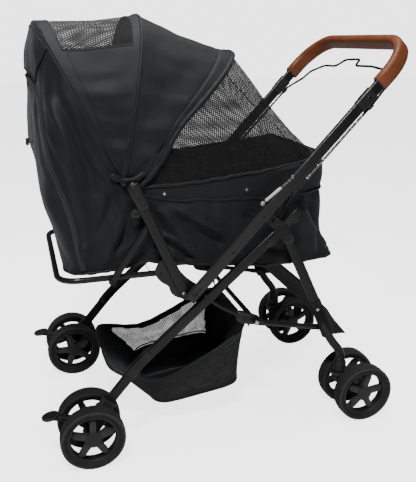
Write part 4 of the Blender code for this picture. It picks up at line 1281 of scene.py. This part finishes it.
# The folds of the cabin's sides, in the side view: start, end, height outward, half width
CABIN_FOLDS = [
    ((0.185, 0.592), (0.257, 0.497), 0.0080, 0.012),
    ((0.165, 0.600), (0.205, 0.500), -0.0080, 0.010),
    ((0.213, 0.600), (0.333, 0.530), 0.0065, 0.014),
    ((0.225, 0.575), (0.335, 0.500), -0.0055, 0.010),
    ((0.267, 0.563), (0.364, 0.507), 0.0050, 0.012),
    ((0.195, 0.530), (0.270, 0.478), 0.0075, 0.007),
    ((0.185, 0.512), (0.255, 0.470), -0.0080, 0.007),
    ((0.175, 0.500), (0.225, 0.474), 0.0070, 0.006),
    ((0.140, 0.560), (0.104, 0.500), 0.0060, 0.010),
    ((0.118, 0.590), (0.080, 0.500), -0.0080, 0.011),
    ((0.104, 0.580), (0.045, 0.470), 0.0070, 0.012),
    ((0.092, 0.640), (0.020, 0.530), -0.0060, 0.013),
    ((0.065, 0.631), (0.010, 0.500), 0.0045, 0.012),
    ((-0.029, 0.832), (0.000, 0.650), 0.0075, 0.012),
    ((0.000, 0.660), (0.012, 0.480), 0.0060, 0.013),
    ((-0.005, 0.820), (0.040, 0.640), -0.0065, 0.016),
    ((0.300, 0.590), (0.400, 0.500), 0.0035, 0.018),
    ((0.400, 0.585), (0.470, 0.470), -0.0040, 0.016),
    ((0.520, 0.585), (0.628, 0.445), 0.0065, 0.010),
    ((0.560, 0.590), (0.600, 0.450), -0.0060, 0.009),
    ((0.430, 0.480), (0.600, 0.442), -0.0045, 0.009),
]
# The cabin's grid: columns round its front and its rear, rows down the wall behind the
# hood, down the skirt and down the tub
FRONT_COLUMNS = 190
REAR_COLUMNS = 170
UPPER_ROWS = 46
SKIRT_ROWS = 9
LOWER_ROWS = 40
SKIRT_EDGE = UPPER_ROWS + SKIRT_ROWS - 1
BOTTOM_ROWS = 14
# Outlines in the side view: heights along x, and places along z for the two ends
SKIRT_LINE = ([-0.10, 0.10, 0.154, 0.218, 0.292, 0.430, 0.517, 0.591, 0.65],
              [0.630, 0.630, 0.627, 0.612, 0.610, 0.603, 0.607, 0.613, 0.615])
RIM_LINE = ([-0.066, 0.118, 0.155, 0.219, 0.299, 0.428, 0.535, 0.576, 0.597],
            [0.654, 0.653, 0.648, 0.650, 0.655, 0.667, 0.681, 0.690, 0.700])
FLOOR_LINE = ([-0.024, 0.060, 0.105, 0.160, 0.220, 0.280, 0.440, 0.634],
              [0.4525, 0.456, 0.466, 0.472, 0.462, 0.453, 0.435, 0.434])
REAR_LINE = ([0.4525, 0.470, 0.500, 0.545, 0.580, 0.620, 0.654],
             [-0.024, -0.030, -0.038, -0.047, -0.055, -0.063, -0.0665])
FRONT_LINE = ([0.434, 0.450, 0.500, 0.560, 0.604, 0.640, 0.702],
              [0.634, 0.624, 0.619, 0.613, 0.606, 0.609, 0.601])
# How far the wall behind the hood swells, from its top to the cabin's rim
REAR_BULGE = ([0.0, 0.1, 0.3, 0.49, 0.78, 0.95, 1.0],
              [0.0, 0.005, 0.012, 0.021, 0.013, 0.002, 0.0])
FRONT_CURVE = 12.0
FRONT_LENGTH = 0.50                     # the cabin in front of the hood's pivot, and behind it
REAR_LENGTH = 0.17
CABIN_RIM_REACH = (0.489, 0.174)        # forward and back from the hood's pivot
CABIN_FLOOR_MIDDLE = 0.16
CABIN_FLOOR_REACH = (0.474, 0.184)


def fold_height(x, z, folds):
    """How far the folds push the cloth out at places in the side view."""
    total = np.zeros_like(x)
    for (x0, z0), (x1, z1), height, width in folds:
        dx, dz = x1 - x0, z1 - z0
        share = ((x - x0) * dx + (z - z0) * dz) / (dx * dx + dz * dz)
        near = np.clip(share, 0.0, 1.0)
        bend = 0.008 * np.sin(math.pi * near)
        distance = np.hypot(x - x0 - near * dx - bend, z - z0 - near * dz)
        fade = np.exp(-((share - 0.5) / 0.55) ** 4)
        total = total + 1.9 * height * np.exp(-(distance / width) ** 2) * fade
    return total


def half_ring(roundness, length, count):
    """Places evenly round one end of the cabin's plan: along from 0 to 1, across from -1."""
    turns = np.linspace(-math.pi / 2, math.pi / 2, 3001)
    along = np.abs(np.cos(turns)) ** (2 / roundness)
    across = np.sign(turns) * np.abs(np.sin(turns)) ** (2 / roundness)
    runs = running(np.hypot(np.diff(along * length), np.diff(across * CABIN_HALF)))
    goals = np.linspace(0.0, runs[-1], count + 1)
    return np.interp(goals, runs, along), np.interp(goals, runs, across)


def cabin_ring():
    """(along, across) of the cabin's whole ring: round the front, then round the rear."""
    front_along, front_across = half_ring(FRONT_CURVE, FRONT_LENGTH, FRONT_COLUMNS)
    rear_along, rear_across = half_ring(RIM_CURVE, REAR_LENGTH, REAR_COLUMNS)
    along = np.concatenate([front_along[:-1], -rear_along[::-1][:-1]])
    across = np.concatenate([front_across[:-1], rear_across[::-1][:-1]])
    return along, across


def cabin_level(along, across, skirt_share, tub_share):
    """One level of the cabin: a share of the way down the skirt, or on down the tub."""
    rim_x = HOOD_PIVOT[0] + np.where(along > 0, *CABIN_RIM_REACH) * along
    floor_x = CABIN_FLOOR_MIDDLE + np.where(along > 0, *CABIN_FLOOR_REACH) * along
    rim_z = np.interp(rim_x, *RIM_LINE)
    skirt_z = np.interp(rim_x, *SKIRT_LINE)
    floor_z = np.interp(floor_x, *FLOOR_LINE)
    if tub_share:
        z = skirt_z + (floor_z - skirt_z) * tub_share
    else:
        z = rim_z + (skirt_z - rim_z) * skirt_share
    depth = np.clip((rim_z - z) / (rim_z - floor_z), 0.0, 1.0)
    middle = HOOD_PIVOT[0] + 0.052 * depth
    front = np.interp(z, *FRONT_LINE) - middle
    rear = middle - np.interp(z, *REAR_LINE)
    x = middle + np.where(along > 0, front, rear) * along
    y = across * CABIN_HALF * (1 - 0.018 * np.sin(math.pi * depth) ** 2)
    return np.stack([x - AXLE_TO_MIDDLE, y, z], axis=1)


def cabin_shell():
    """The cabin's grid with its rear wall above, and which of its faces are kept."""
    along, across = cabin_ring()
    columns = len(along)
    shares = [(share, 0.0) for share in np.linspace(0.0, 1.0, SKIRT_ROWS)]
    shares += [(1.0, share) for share in np.linspace(0.0, 1.0, LOWER_ROWS)[1:]]
    lower = np.stack([cabin_level(along, across, *pair) for pair in shares])
    bow = hood_edge("rear_bow", 0.6, count=REAR_COLUMNS)[::-1]
    top = lower[0].copy()
    top[FRONT_COLUMNS:] = bow[:REAR_COLUMNS]
    shares = np.linspace(0.0, 1.0, UPPER_ROWS, endpoint=False)[:, None, None]
    upper = top[None] * (1 - shares) + lower[0][None] * shares
    foot = np.abs(np.linspace(-1.0, 1.0, REAR_COLUMNS + 1))[:-1]
    swell = np.interp(shares[..., 0], *REAR_BULGE) * (1 - ramp(foot, 0.60, 0.95))[None]
    upper[:, FRONT_COLUMNS:, 0] -= swell
    grid = np.concatenate([upper, lower])
    keep = np.ones((grid.shape[0] - 1, columns), dtype=bool)
    keep[:UPPER_ROWS, :FRONT_COLUMNS] = False
    return grid, keep


def cabin_heights(grid, on_side):
    """How far the skirt's roll, the folds and the ruffles push the cabin's cloth out."""
    side_x = grid[..., 0] + AXLE_TO_MIDDLE
    last = len(grid) - 1
    levels = np.arange(len(grid), dtype=float)[:, None]
    on_skirt = (levels >= UPPER_ROWS) & (levels <= SKIRT_EDGE)
    skirt_share = np.clip((levels - UPPER_ROWS) / (SKIRT_ROWS - 1), 0.0, 1.0)
    heights = 0.0050 * on_skirt * ramp(side_x, 0.12, 0.17) * np.sin(
        math.pi * np.minimum(1.0, 0.25 + skirt_share * 0.72))
    below_skirt = ramp(levels, SKIRT_EDGE, SKIRT_EDGE + 6.0)
    loose = np.where(side_x < 0.14, 1.0, below_skirt) * ramp(levels, 0.0, 8.0)
    heights = heights + fold_height(side_x, grid[..., 2], CABIN_FOLDS) * on_side * loose
    heights += 0.0085 * ruffle(grid, (0.075, 0.11), 41.0) * loose
    heights += 0.0034 * ruffle(grid, (0.030, 0.070), 47.0) * loose
    gather = np.exp(-((levels - SKIRT_EDGE - 2.0) / 5.0) ** 2) * ramp(side_x, 0.14, 0.20)
    heights += 0.0016 * ruffle(grid, (0.011, 0.05), 53.0) * gather
    heights += 0.0020 * ramp(levels, last - 3.5, last - 2.0)
    puckers = np.exp(-((last - levels) / 3.0) ** 2)
    heights += 0.0022 * ruffle(grid, (0.014, 0.05), 57.0) * puckers
    return heights


def build_cabin():
    """The fabric tub and the wall behind the hood: one shell with a stepped skirt."""
    grid, keep = cabin_shell()
    normal = outward_normals(looped_grid(grid), at(0.25, 0, 0.62))[:, :-1]
    side_x = grid[..., 0] + AXLE_TO_MIDDLE
    side_z = grid[..., 2]
    on_side = ramp(np.abs(grid[..., 1]), 0.10, 0.17)
    flare = ramp(side_x, 0.57, 0.62) * ramp(-side_z, -0.50, -0.436) * on_side
    grid = grid + normal * cabin_heights(grid, on_side)[..., None]
    grid[..., 0] += 0.006 * flare
    cloth = cloth_object("cabin_cloth", grid, FABRIC, 0.0016, keep=keep, looped=True)
    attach(cloth, "chassis")
    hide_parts("cabin_tub", "rear_wall")

    shrink = np.linspace(1.0, 0.0, BOTTOM_ROWS)[:, None]
    bottom = np.repeat(grid[-1][None], BOTTOM_ROWS, axis=0)
    bottom[..., 1] *= shrink
    bottom[..., 2] = (np.interp(bottom[..., 0] + AXLE_TO_MIDDLE, *FLOOR_LINE)
                      - 0.002 * (1 - shrink ** 2) + 0.001)
    base = cloth_object("cabin_bottom_cloth", bottom, FABRIC, 0.0016, looped=True)
    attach(base, "chassis")

    whole = looped_grid(grid)
    wavy = [p + UPWARD * (0.0030 * noise.noise(p * 45.0) - 0.0005) for p in map(Vector, whole[-1])]
    bottom_roll = piece("cabin_bottom_piping", piping(wavy, 0.0036, 6.0, 0.3), BINDING, "chassis")
    hem_columns = [c for c in range(FRONT_COLUMNS) if side_x[SKIRT_EDGE, c] > 0.14]
    skirt = [Vector(grid[SKIRT_EDGE, c] + normal[SKIRT_EDGE, c] * 0.0010) for c in hem_columns]
    wavy = [p + UPWARD * 0.0034 * noise.noise(p * 42.0) for p in skirt]
    skirt_roll = piece("skirt_piping", piping(wavy, 0.0036, 7.0, 0.4), BINDING, "chassis")

    bare_node("floor_board", BOARD)
    front_part = (slice(UPPER_ROWS, None), slice(0, FRONT_COLUMNS))
    build_snaps(grid[front_part], normal[front_part], side_x[front_part], side_z[front_part])
    rear_part = (slice(0, None), slice(FRONT_COLUMNS, None))
    build_rear_door(grid[rear_part], normal[rear_part])
    build_side_seams(grid, normal, side_x, side_z)


# In the side view: the curved seam of each side's rear panel, and the upright seam in front
SIDE_SEAMS = (
    [(0.118, 0.640), (0.140, 0.618), (0.166, 0.604), (0.195, 0.585), (0.232, 0.550),
     (0.256, 0.510), (0.268, 0.470)],
    [(0.5440, 0.600), (0.5430, 0.575), (0.5440, 0.545)],
)


def build_side_seams(grid, normal, side_x, side_z):
    """The seams of the cabin's sides, laid on its folded cloth."""
    for label, side in SIDES.items():
        shape = Shape()
        for line in SIDE_SEAMS:
            path = smooth_path([(x, 0, z) for x, z in line], 0.03, 8)
            points = []
            for point in evenly(path, 30):
                r, c = nearest_on(grid, side_x, side_z, point[0], point[2], side)
                place = Vector(grid[r, c]) + Vector(normal[r, c]) * 0.0010
                points.append(Vector((point[0] - AXLE_TO_MIDDLE, place.y, point[2])))
            shape.join(piping(points, 0.0014, 2.0, 0.1, 8, ACROSS))
        piece(f"side_panel_seams_{label}", shape, BINDING, "chassis")


def looped_grid(grid):
    """The grid with its first column again at its end."""
    return np.concatenate([grid, grid[:, :1]], axis=1)


def nearest_on(grid, side_x, side_z, x, z, side):
    """The grid's point on one side nearest to a place in the side view."""
    miss = np.hypot(side_x - x, side_z - z) + (np.sign(grid[..., 1]) != side) * 9.0
    return np.unravel_index(np.argmin(miss), miss.shape)


def build_rear_door(grid, normal):
    """The zip of the door in the rear wall, with its slider and its pull."""
    columns = grid.shape[1] - 1
    middle = columns / 2
    arch = []
    outs = []
    for i in range(81):
        turn = math.pi * i / 80
        rise = abs(math.sin(turn)) ** 0.55
        reach = columns * (0.306 + 0.06 * rise * (1 - rise) - 0.028 * rise ** 3)
        column = middle - reach * math.copysign(abs(math.cos(turn)) ** 0.36, math.cos(turn))
        row = (grid.shape[0] - 3) * (1.0 - 0.83 * rise)
        outs.append(Vector(sample(normal, row, column)).normalized())
        arch.append(Vector(sample(grid, row, column)) + outs[-1] * 0.0022)
    tape = sweep(arch, rounded_rect(0.0120, 0.0026, 0.0010, 2), outs)
    coil = sweep([p + out * 0.0016 for p, out in zip(arch, outs)], circle(0.0024, 8), outs)
    piece("rear_door_zip_tape", tape, ZIP, "chassis")
    piece("rear_door_zip_coil", coil, ZIP, "chassis")
    build_window_flap(grid, normal)

    place = arch[30] + Vector((-0.003, 0, 0))
    slider = sweep([place + Vector((0.002, 0, 0.005)), place + Vector((0.001, 0, -0.006))],
                   rounded_rect(0.006, 0.008, 0.0015, 2), ACROSS, 0.002)
    slider.join(tube([place, place + Vector((-0.007, 0, -0.001))], 0.0013, 8))
    piece("zip_slider", slider, WIRE, "chassis")
    low = Vector(sample(grid, UPPER_ROWS * 0.72, middle + columns * 0.12))
    knob = tube([low, low + Vector((-0.012, 0, -0.001))], 0.0030, 8)
    knob.join(sweep([low + Vector((-0.012, 0, 0.004)), low + Vector((-0.013, 0, -0.007))],
                    rounded_rect(0.0080, 0.0100, 0.0035, 3), ACROSS, 0.003))
    piece("zip_pull_tag", knob, PLASTIC, "chassis")


FLAP_ROWS = 18
FLAP_COLUMNS = 60


def build_window_flap(grid, normal):
    """The cloth flap that hangs over the rear wall's window, with its hem."""
    columns = grid.shape[1] - 1
    flap = np.zeros((FLAP_ROWS + 1, FLAP_COLUMNS + 1, 3))
    out = np.zeros_like(flap)
    for r, c in np.ndindex(flap.shape[:2]):
        down = r / FLAP_ROWS
        reach = columns * (0.172 - 0.030 * down)
        column = columns / 2 + reach * (c / (FLAP_COLUMNS / 2) - 1)
        row = 0.8 + down * UPPER_ROWS * 0.27
        flap[r, c] = sample(grid, row, column)
        out[r, c] = sample(normal, row, column)
    down = np.linspace(0.0, 1.0, FLAP_ROWS + 1)[:, None]
    swell = 0.0030 + 0.0022 * np.sin(math.pi * 0.62 * down) + 0.0035 * down * ruffle(
        flap, (0.05, 0.12), 33.0)
    flap = flap + out * swell[..., None]
    flap_piece = cloth_object("rear_window_flap", flap, FABRIC)
    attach(flap_piece, "chassis")
    border = [*flap[:, 0], *flap[-1, 1:-1], *flap[::-1, -1]]
    hem = piece("rear_flap_hem", piping(border, 0.0022, 5.0), BINDING, "chassis")


def sample(grid, row, column):
    """The grid's value between its points."""
    rows, columns = grid.shape[0] - 1, grid.shape[1] - 1
    row, column = min(max(row, 0.0), rows), min(max(column, 0.0), columns)
    r, c = min(int(row), rows - 1), min(int(column), columns - 1)
    a, b = row - r, column - c
    return ((grid[r, c] * (1 - a) + grid[r + 1, c] * a) * (1 - b)
            + (grid[r, c + 1] * (1 - a) + grid[r + 1, c + 1] * a) * b)


def build_snaps(grid, normal, side_x, side_z):
    """The press studs on the skirt, the D-shaped wire ends and the webbing loop below."""
    for label, side in SIDES.items():
        bright, dark = Shape(), Shape()
        for x, z in ((0.197, 0.630), (0.398, 0.624)):
            r, c = nearest_on(grid, side_x, side_z, x, z, side)
            place, out = Vector(grid[r, c]), Vector(normal[r, c])
            bright.join(turned([(0.0026, 0.0002), (0.0027, 0.0026), (0.0018, 0.0034),
                                (0.0006, 0.0037)], place, out, 24))
            dark.join(turned([(0.0066, -0.0004), (0.0068, 0.0014), (0.0056, 0.0022),
                              (0.0026, 0.0024)], place, out, 24))
        piece(f"snap_studs_{label}", bright, ZINC, "chassis")
        piece(f"snap_rings_{label}", dark, PLASTIC, "chassis")
        ring = []
        for i in range(13):
            turn = math.radians(15 + 150 * i / 12)
            ring.append(at(0.402 + 0.016 * math.cos(turn), side * 0.2075,
                           0.566 + 0.014 * math.sin(turn)))
        piece(f"side_wire_ring_{label}", tube(ring, 0.0012, 8, ACROSS), WIRE, "chassis")
        route = [at(0.150, side * 0.197, 0.474), at(0.152, side * 0.203, 0.460),
                 at(0.164, side * 0.206, 0.444), at(0.176, side * 0.2085, 0.440)]
        strap = sweep(smooth_path(route, 0.008), rounded_rect(0.0014, 0.006, 0.0005, 2), ACROSS, 0.0)
        piece(f"toggle_strap_{label}", strap, BINDING, "chassis")


NET_ROWS = 48
# share of the way across at the hood and at the rim, height outward
NET_FOLDS = (
    (0.30, 0.36, 0.007), (0.335, 0.42, -0.006), (0.66, 0.60, 0.007), (0.70, 0.66, -0.005),
    (0.43, 0.47, 0.004),
)


def build_front_net():
    """The see-through front from the hood's edge to the cabin's rim, with its bindings."""
    top = hood_edge("front_bow", -0.5)
    rim = u_line(7.0, 0.4885, CABIN_HALF + 0.0058, RIM_CURVE, 0.045, HOOD_COLUMNS)
    side_x = rim[:, 0] + AXLE_TO_MIDDLE
    rim[:, 2] = np.interp(side_x, *RIM_LINE) + 0.001
    grid = between(top, rim, NET_ROWS)
    normal = outward_normals(grid, at(0.30, 0, 0.70))
    down = np.linspace(0.0, 1.0, NET_ROWS + 1)[:, None]
    slack = np.sin(math.pi * down)
    height = -0.004 * slack + 0.006 * slack * ruffle(grid, (0.10, 0.30), 61.0)
    columns = grid.shape[1]
    shares = np.linspace(0.0, 1.0, columns)[None, :]
    for start, end, size in NET_FOLDS:
        line = start + (end - start) * down
        height = height + size * slack * np.exp(-((shares - line) / 0.010) ** 2)
    grid = grid + normal * height[..., None]
    net = cloth_object("front_net", grid, NET, 0.0)
    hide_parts("mesh_front")
    wavy = [p + UPWARD * (0.0030 * noise.noise(p * 42.0) - 0.001) for p in map(Vector, grid[-1])]
    hem = binding("front_net_hem", piping(wavy, 0.0038, 8.0, 0.35, 10, ACROSS))
    tape = rounded_rect(0.0010, 0.0045, 0.0004, 2)
    strips = []
    for label, share in (("right", 0.34), ("left", 0.66)):
        seam = grid[:, int(share * (columns - 1))]
        strips.append(binding(f"net_seam_{label}", sweep(seam, tape, ACROSS)))
    for obj in (net, hem, *strips):
        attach(obj, "front_bow")
        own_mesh(obj)


# The height of the basket's rim along x, then the middle and half length of its top and floor
BASKET_RIM = ([0.060, 0.100, 0.150, 0.190, 0.230, 0.300, 0.430],
              [0.172, 0.158, 0.145, 0.142, 0.152, 0.183, 0.250])
BASKET_TOP = (0.245, 0.185)
BASKET_FLOOR = (0.289, 0.121)
BASKET_HALF_LENGTH = 0.17
BASKET_COLUMNS = 220
BASKET_ROWS = 34


def basket_ring():
    """Places evenly round the basket's plan, along and across from -1 to 1."""
    turns = 2 * math.pi * np.linspace(0, 1, 4001)
    x = np.sign(np.cos(turns)) * np.abs(np.cos(turns)) ** (2 / 6.0) * BASKET_HALF_LENGTH
    y = np.sign(np.sin(turns)) * np.abs(np.sin(turns)) ** (2 / 6.0) * BASKET_HALF
    runs = running(np.hypot(np.diff(x), np.diff(y)))
    goals = np.linspace(0, runs[-1], BASKET_COLUMNS, endpoint=False)
    return np.interp(goals, runs, x) / BASKET_HALF_LENGTH, np.interp(goals, runs, y) / BASKET_HALF


def basket_grid():
    """The basket's wall, from its floor to its rim, with its normals and its ruffles."""
    along, across = basket_ring()
    rim_x = BASKET_TOP[0] + BASKET_TOP[1] * along
    floor_x = BASKET_FLOOR[0] + BASKET_FLOOR[1] * along
    z_rim = np.interp(rim_x, *BASKET_RIM)
    z_floor = 0.062 + (floor_x - 0.168) * 0.124
    grid = np.zeros((BASKET_ROWS + 1, BASKET_COLUMNS, 3))
    for r in range(BASKET_ROWS + 1):
        v = r / BASKET_ROWS
        grid[r, :, 0] = floor_x + (rim_x - floor_x) * v - AXLE_TO_MIDDLE
        grid[r, :, 1] = across * BASKET_HALF * (1 - 0.045 * math.sin(math.pi * v))
        grid[r, :, 2] = z_floor + (z_rim - z_floor) * v
    normal = outward_normals(looped_grid(grid), at(0.27, 0, 0.12))[:, :-1]
    down = np.linspace(0.0, 1.0, BASKET_ROWS + 1)[:, None]
    height = 0.0030 * ruffle(grid, (0.12, 0.10), 71.0) * np.sin(math.pi * down)
    height = height + 0.0012 * ruffle(grid, (0.035, 0.05), 75.0)
    return grid + normal * height[..., None], normal


def build_basket():
    """The basket: fabric ends and floor, net sides, a wide hem and rolled seams."""
    grid, normal = basket_grid()
    side_x = grid[..., 0] + AXLE_TO_MIDDLE
    from_floor = running(step_lengths(grid, 0))
    from_rim = from_floor[-1:] - from_floor
    on_side = np.abs(grid[..., 1]) > BASKET_HALF * 0.88
    window = (on_side & (from_rim > 0.017) & (side_x > 0.115) & (side_x < 0.405))[:-1]
    grid = grid + normal * (0.0009 * (1 - ramp(from_rim, 0.015, 0.018)))[..., None]
    cloth = cloth_object("basket_cloth", grid, FABRIC, 0.0012, keep=~window, looped=True)
    net = cloth_object("basket_side_nets", grid, BASKET_NET, 0.0, keep=window, looped=True)
    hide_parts("basket")
    shrink = np.linspace(1.0, 0.0, 12)[:, None]
    floor = np.repeat(grid[:1], 12, axis=0)
    floor[..., 1] = grid[:1, :, 1] * shrink
    floor[..., 2] = grid[:1, :, 2] - 0.004 * (1 - shrink ** 2)
    base = cloth_object("basket_floor_cloth", floor, FABRIC, 0.0012, looped=True)

    looped = looped_grid(grid)
    floor_rolls = Shape()
    for lift in (0.0, 0.0075):
        low = [Vector(p) + UPWARD * lift for p in looped[0]]
        floor_rolls.join(piping(low, 0.0020, 10.0, 0.1, 8))
    rolls = [binding("basket_rim_piping", piping(looped[-1], 0.0030, 9.0)),
             binding("basket_floor_piping", floor_rolls)]
    for label, side in SIDES.items():
        line = side_path([(0.428, 0.248), (0.424, 0.281)], side * 0.150)
        tie = sweep(line, rounded_rect(0.0018, 0.016, 0.0007, 2), ACROSS)
        rolls.append(binding(f"basket_tie_{label}", tie))
    for obj in (cloth, net, base, *rolls):
        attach(obj, "chassis")
        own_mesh(obj)


# Stage -------------------------------------------------------------------------

FLOOR_GLOW = 2.75            # the floor's and the backdrop's brightness as the camera sees them
BACKDROP_LIGHT = 3.1
ROOM_LIGHT = 0.085           # what the backdrop lights the stroller with
LIGHTS_AIM = Vector((0, 0, 0.55))
FLOOR_REACH = 14.0
# name, place, size in metres, power in watts
LIGHTS = (
    ("key", (-0.75, -1.6, 2.8), 0.5, 76.0),
    ("fill", (2.6, -1.4, 1.6), 1.6, 1.5),
    ("front", (0.3, -2.6, 0.35), 1.8, 6.0),
    ("top", (0.1, 0.5, 3.2), 1.4, 55.0),
)


def seen_only(tree, seen, otherwise):
    """One value for what the camera sees directly and another for the light cast."""
    is_seen = add_node(tree, "LightPath").outputs["Is Camera Ray"]
    return mapped(tree, is_seen, otherwise, seen, 0.0, 1.0)


def build_stage():
    """A pale floor and backdrop, soft light from all round, and the camera."""
    mesh = bpy.data.meshes.new("floor")
    corners = [(-1, -1), (1, -1), (1, 1), (-1, 1)]
    mesh.from_pydata([(x * FLOOR_REACH, y * FLOOR_REACH, 0) for x, y in corners], [], [(0, 1, 2, 3)])
    floor = new_object("studio_floor", mesh)
    material, tree, shader = start_material("pale_floor", 0.85, 0.0, 0.2)
    where = object_places(tree)
    tree.links.new(tinted(tree, noise_value(tree, where, 3.0), (0.90, 0.90, 0.90),
                          (0.94, 0.94, 0.94)), shader.inputs["Base Color"])
    glow = add_node(tree, "Emission", {"Strength": seen_only(tree, FLOOR_GLOW, 0.0)})
    both = add_node(tree, "AddShader", {0: shader.outputs[0], 1: glow.outputs[0]})
    tree.links.new(both.outputs[0], tree.nodes["Material Output"].inputs["Surface"])
    floor.data.materials.append(material)

    world = bpy.data.worlds.new("studio")
    world.use_nodes = True
    tree = world.node_tree
    background = tree.nodes["Background"]
    background.inputs["Color"].default_value = (1.0, 1.0, 1.0, 1.0)
    tree.links.new(seen_only(tree, BACKDROP_LIGHT, ROOM_LIGHT), background.inputs["Strength"])
    bpy.context.scene.world = world

    for name, place, size, power in LIGHTS:
        data = bpy.data.lights.new(name, "AREA")
        data.shape = "DISK"
        data.size = size
        data.energy = power
        lamp = new_object(name, data)
        lamp.location = place
        aim = LIGHTS_AIM - Vector(place)
        lamp.rotation_euler = aim.to_track_quat("-Z", "Y").to_euler()

    camera = bpy.data.cameras.new("camera")
    camera.lens = CAMERA_LENS
    camera.sensor_width = SENSOR_WIDTH
    eye = new_object("camera", camera)
    eye.location = at(*CAMERA_PLACE)
    eye.rotation_euler = (math.radians(90 - CAMERA_TILT), 0.0, math.radians(-CAMERA_TURN))
    bpy.context.scene.camera = eye


build_stage()
build_wheels()
for label, side in SIDES.items():
    build_rear_leg(label, side)
    build_axle_housing(label, side)
    build_pedal(label, side)
    build_canopy_arm(label, side)
    build_plates(label, side)
    build_strut(label, side)
    build_front_leg(label, side)
    build_caster(label, side)
build_rear_loop()
build_footrest()
build_braces()
build_rivets()
for label in SIDES:
    bare_node(f"rear_axle_{label}", ZINC)
    bare_node(f"caster_axle_{label}", ZINC)
build_handle()
build_release()
build_hood()
build_cabin()
build_front_net()
build_basket()
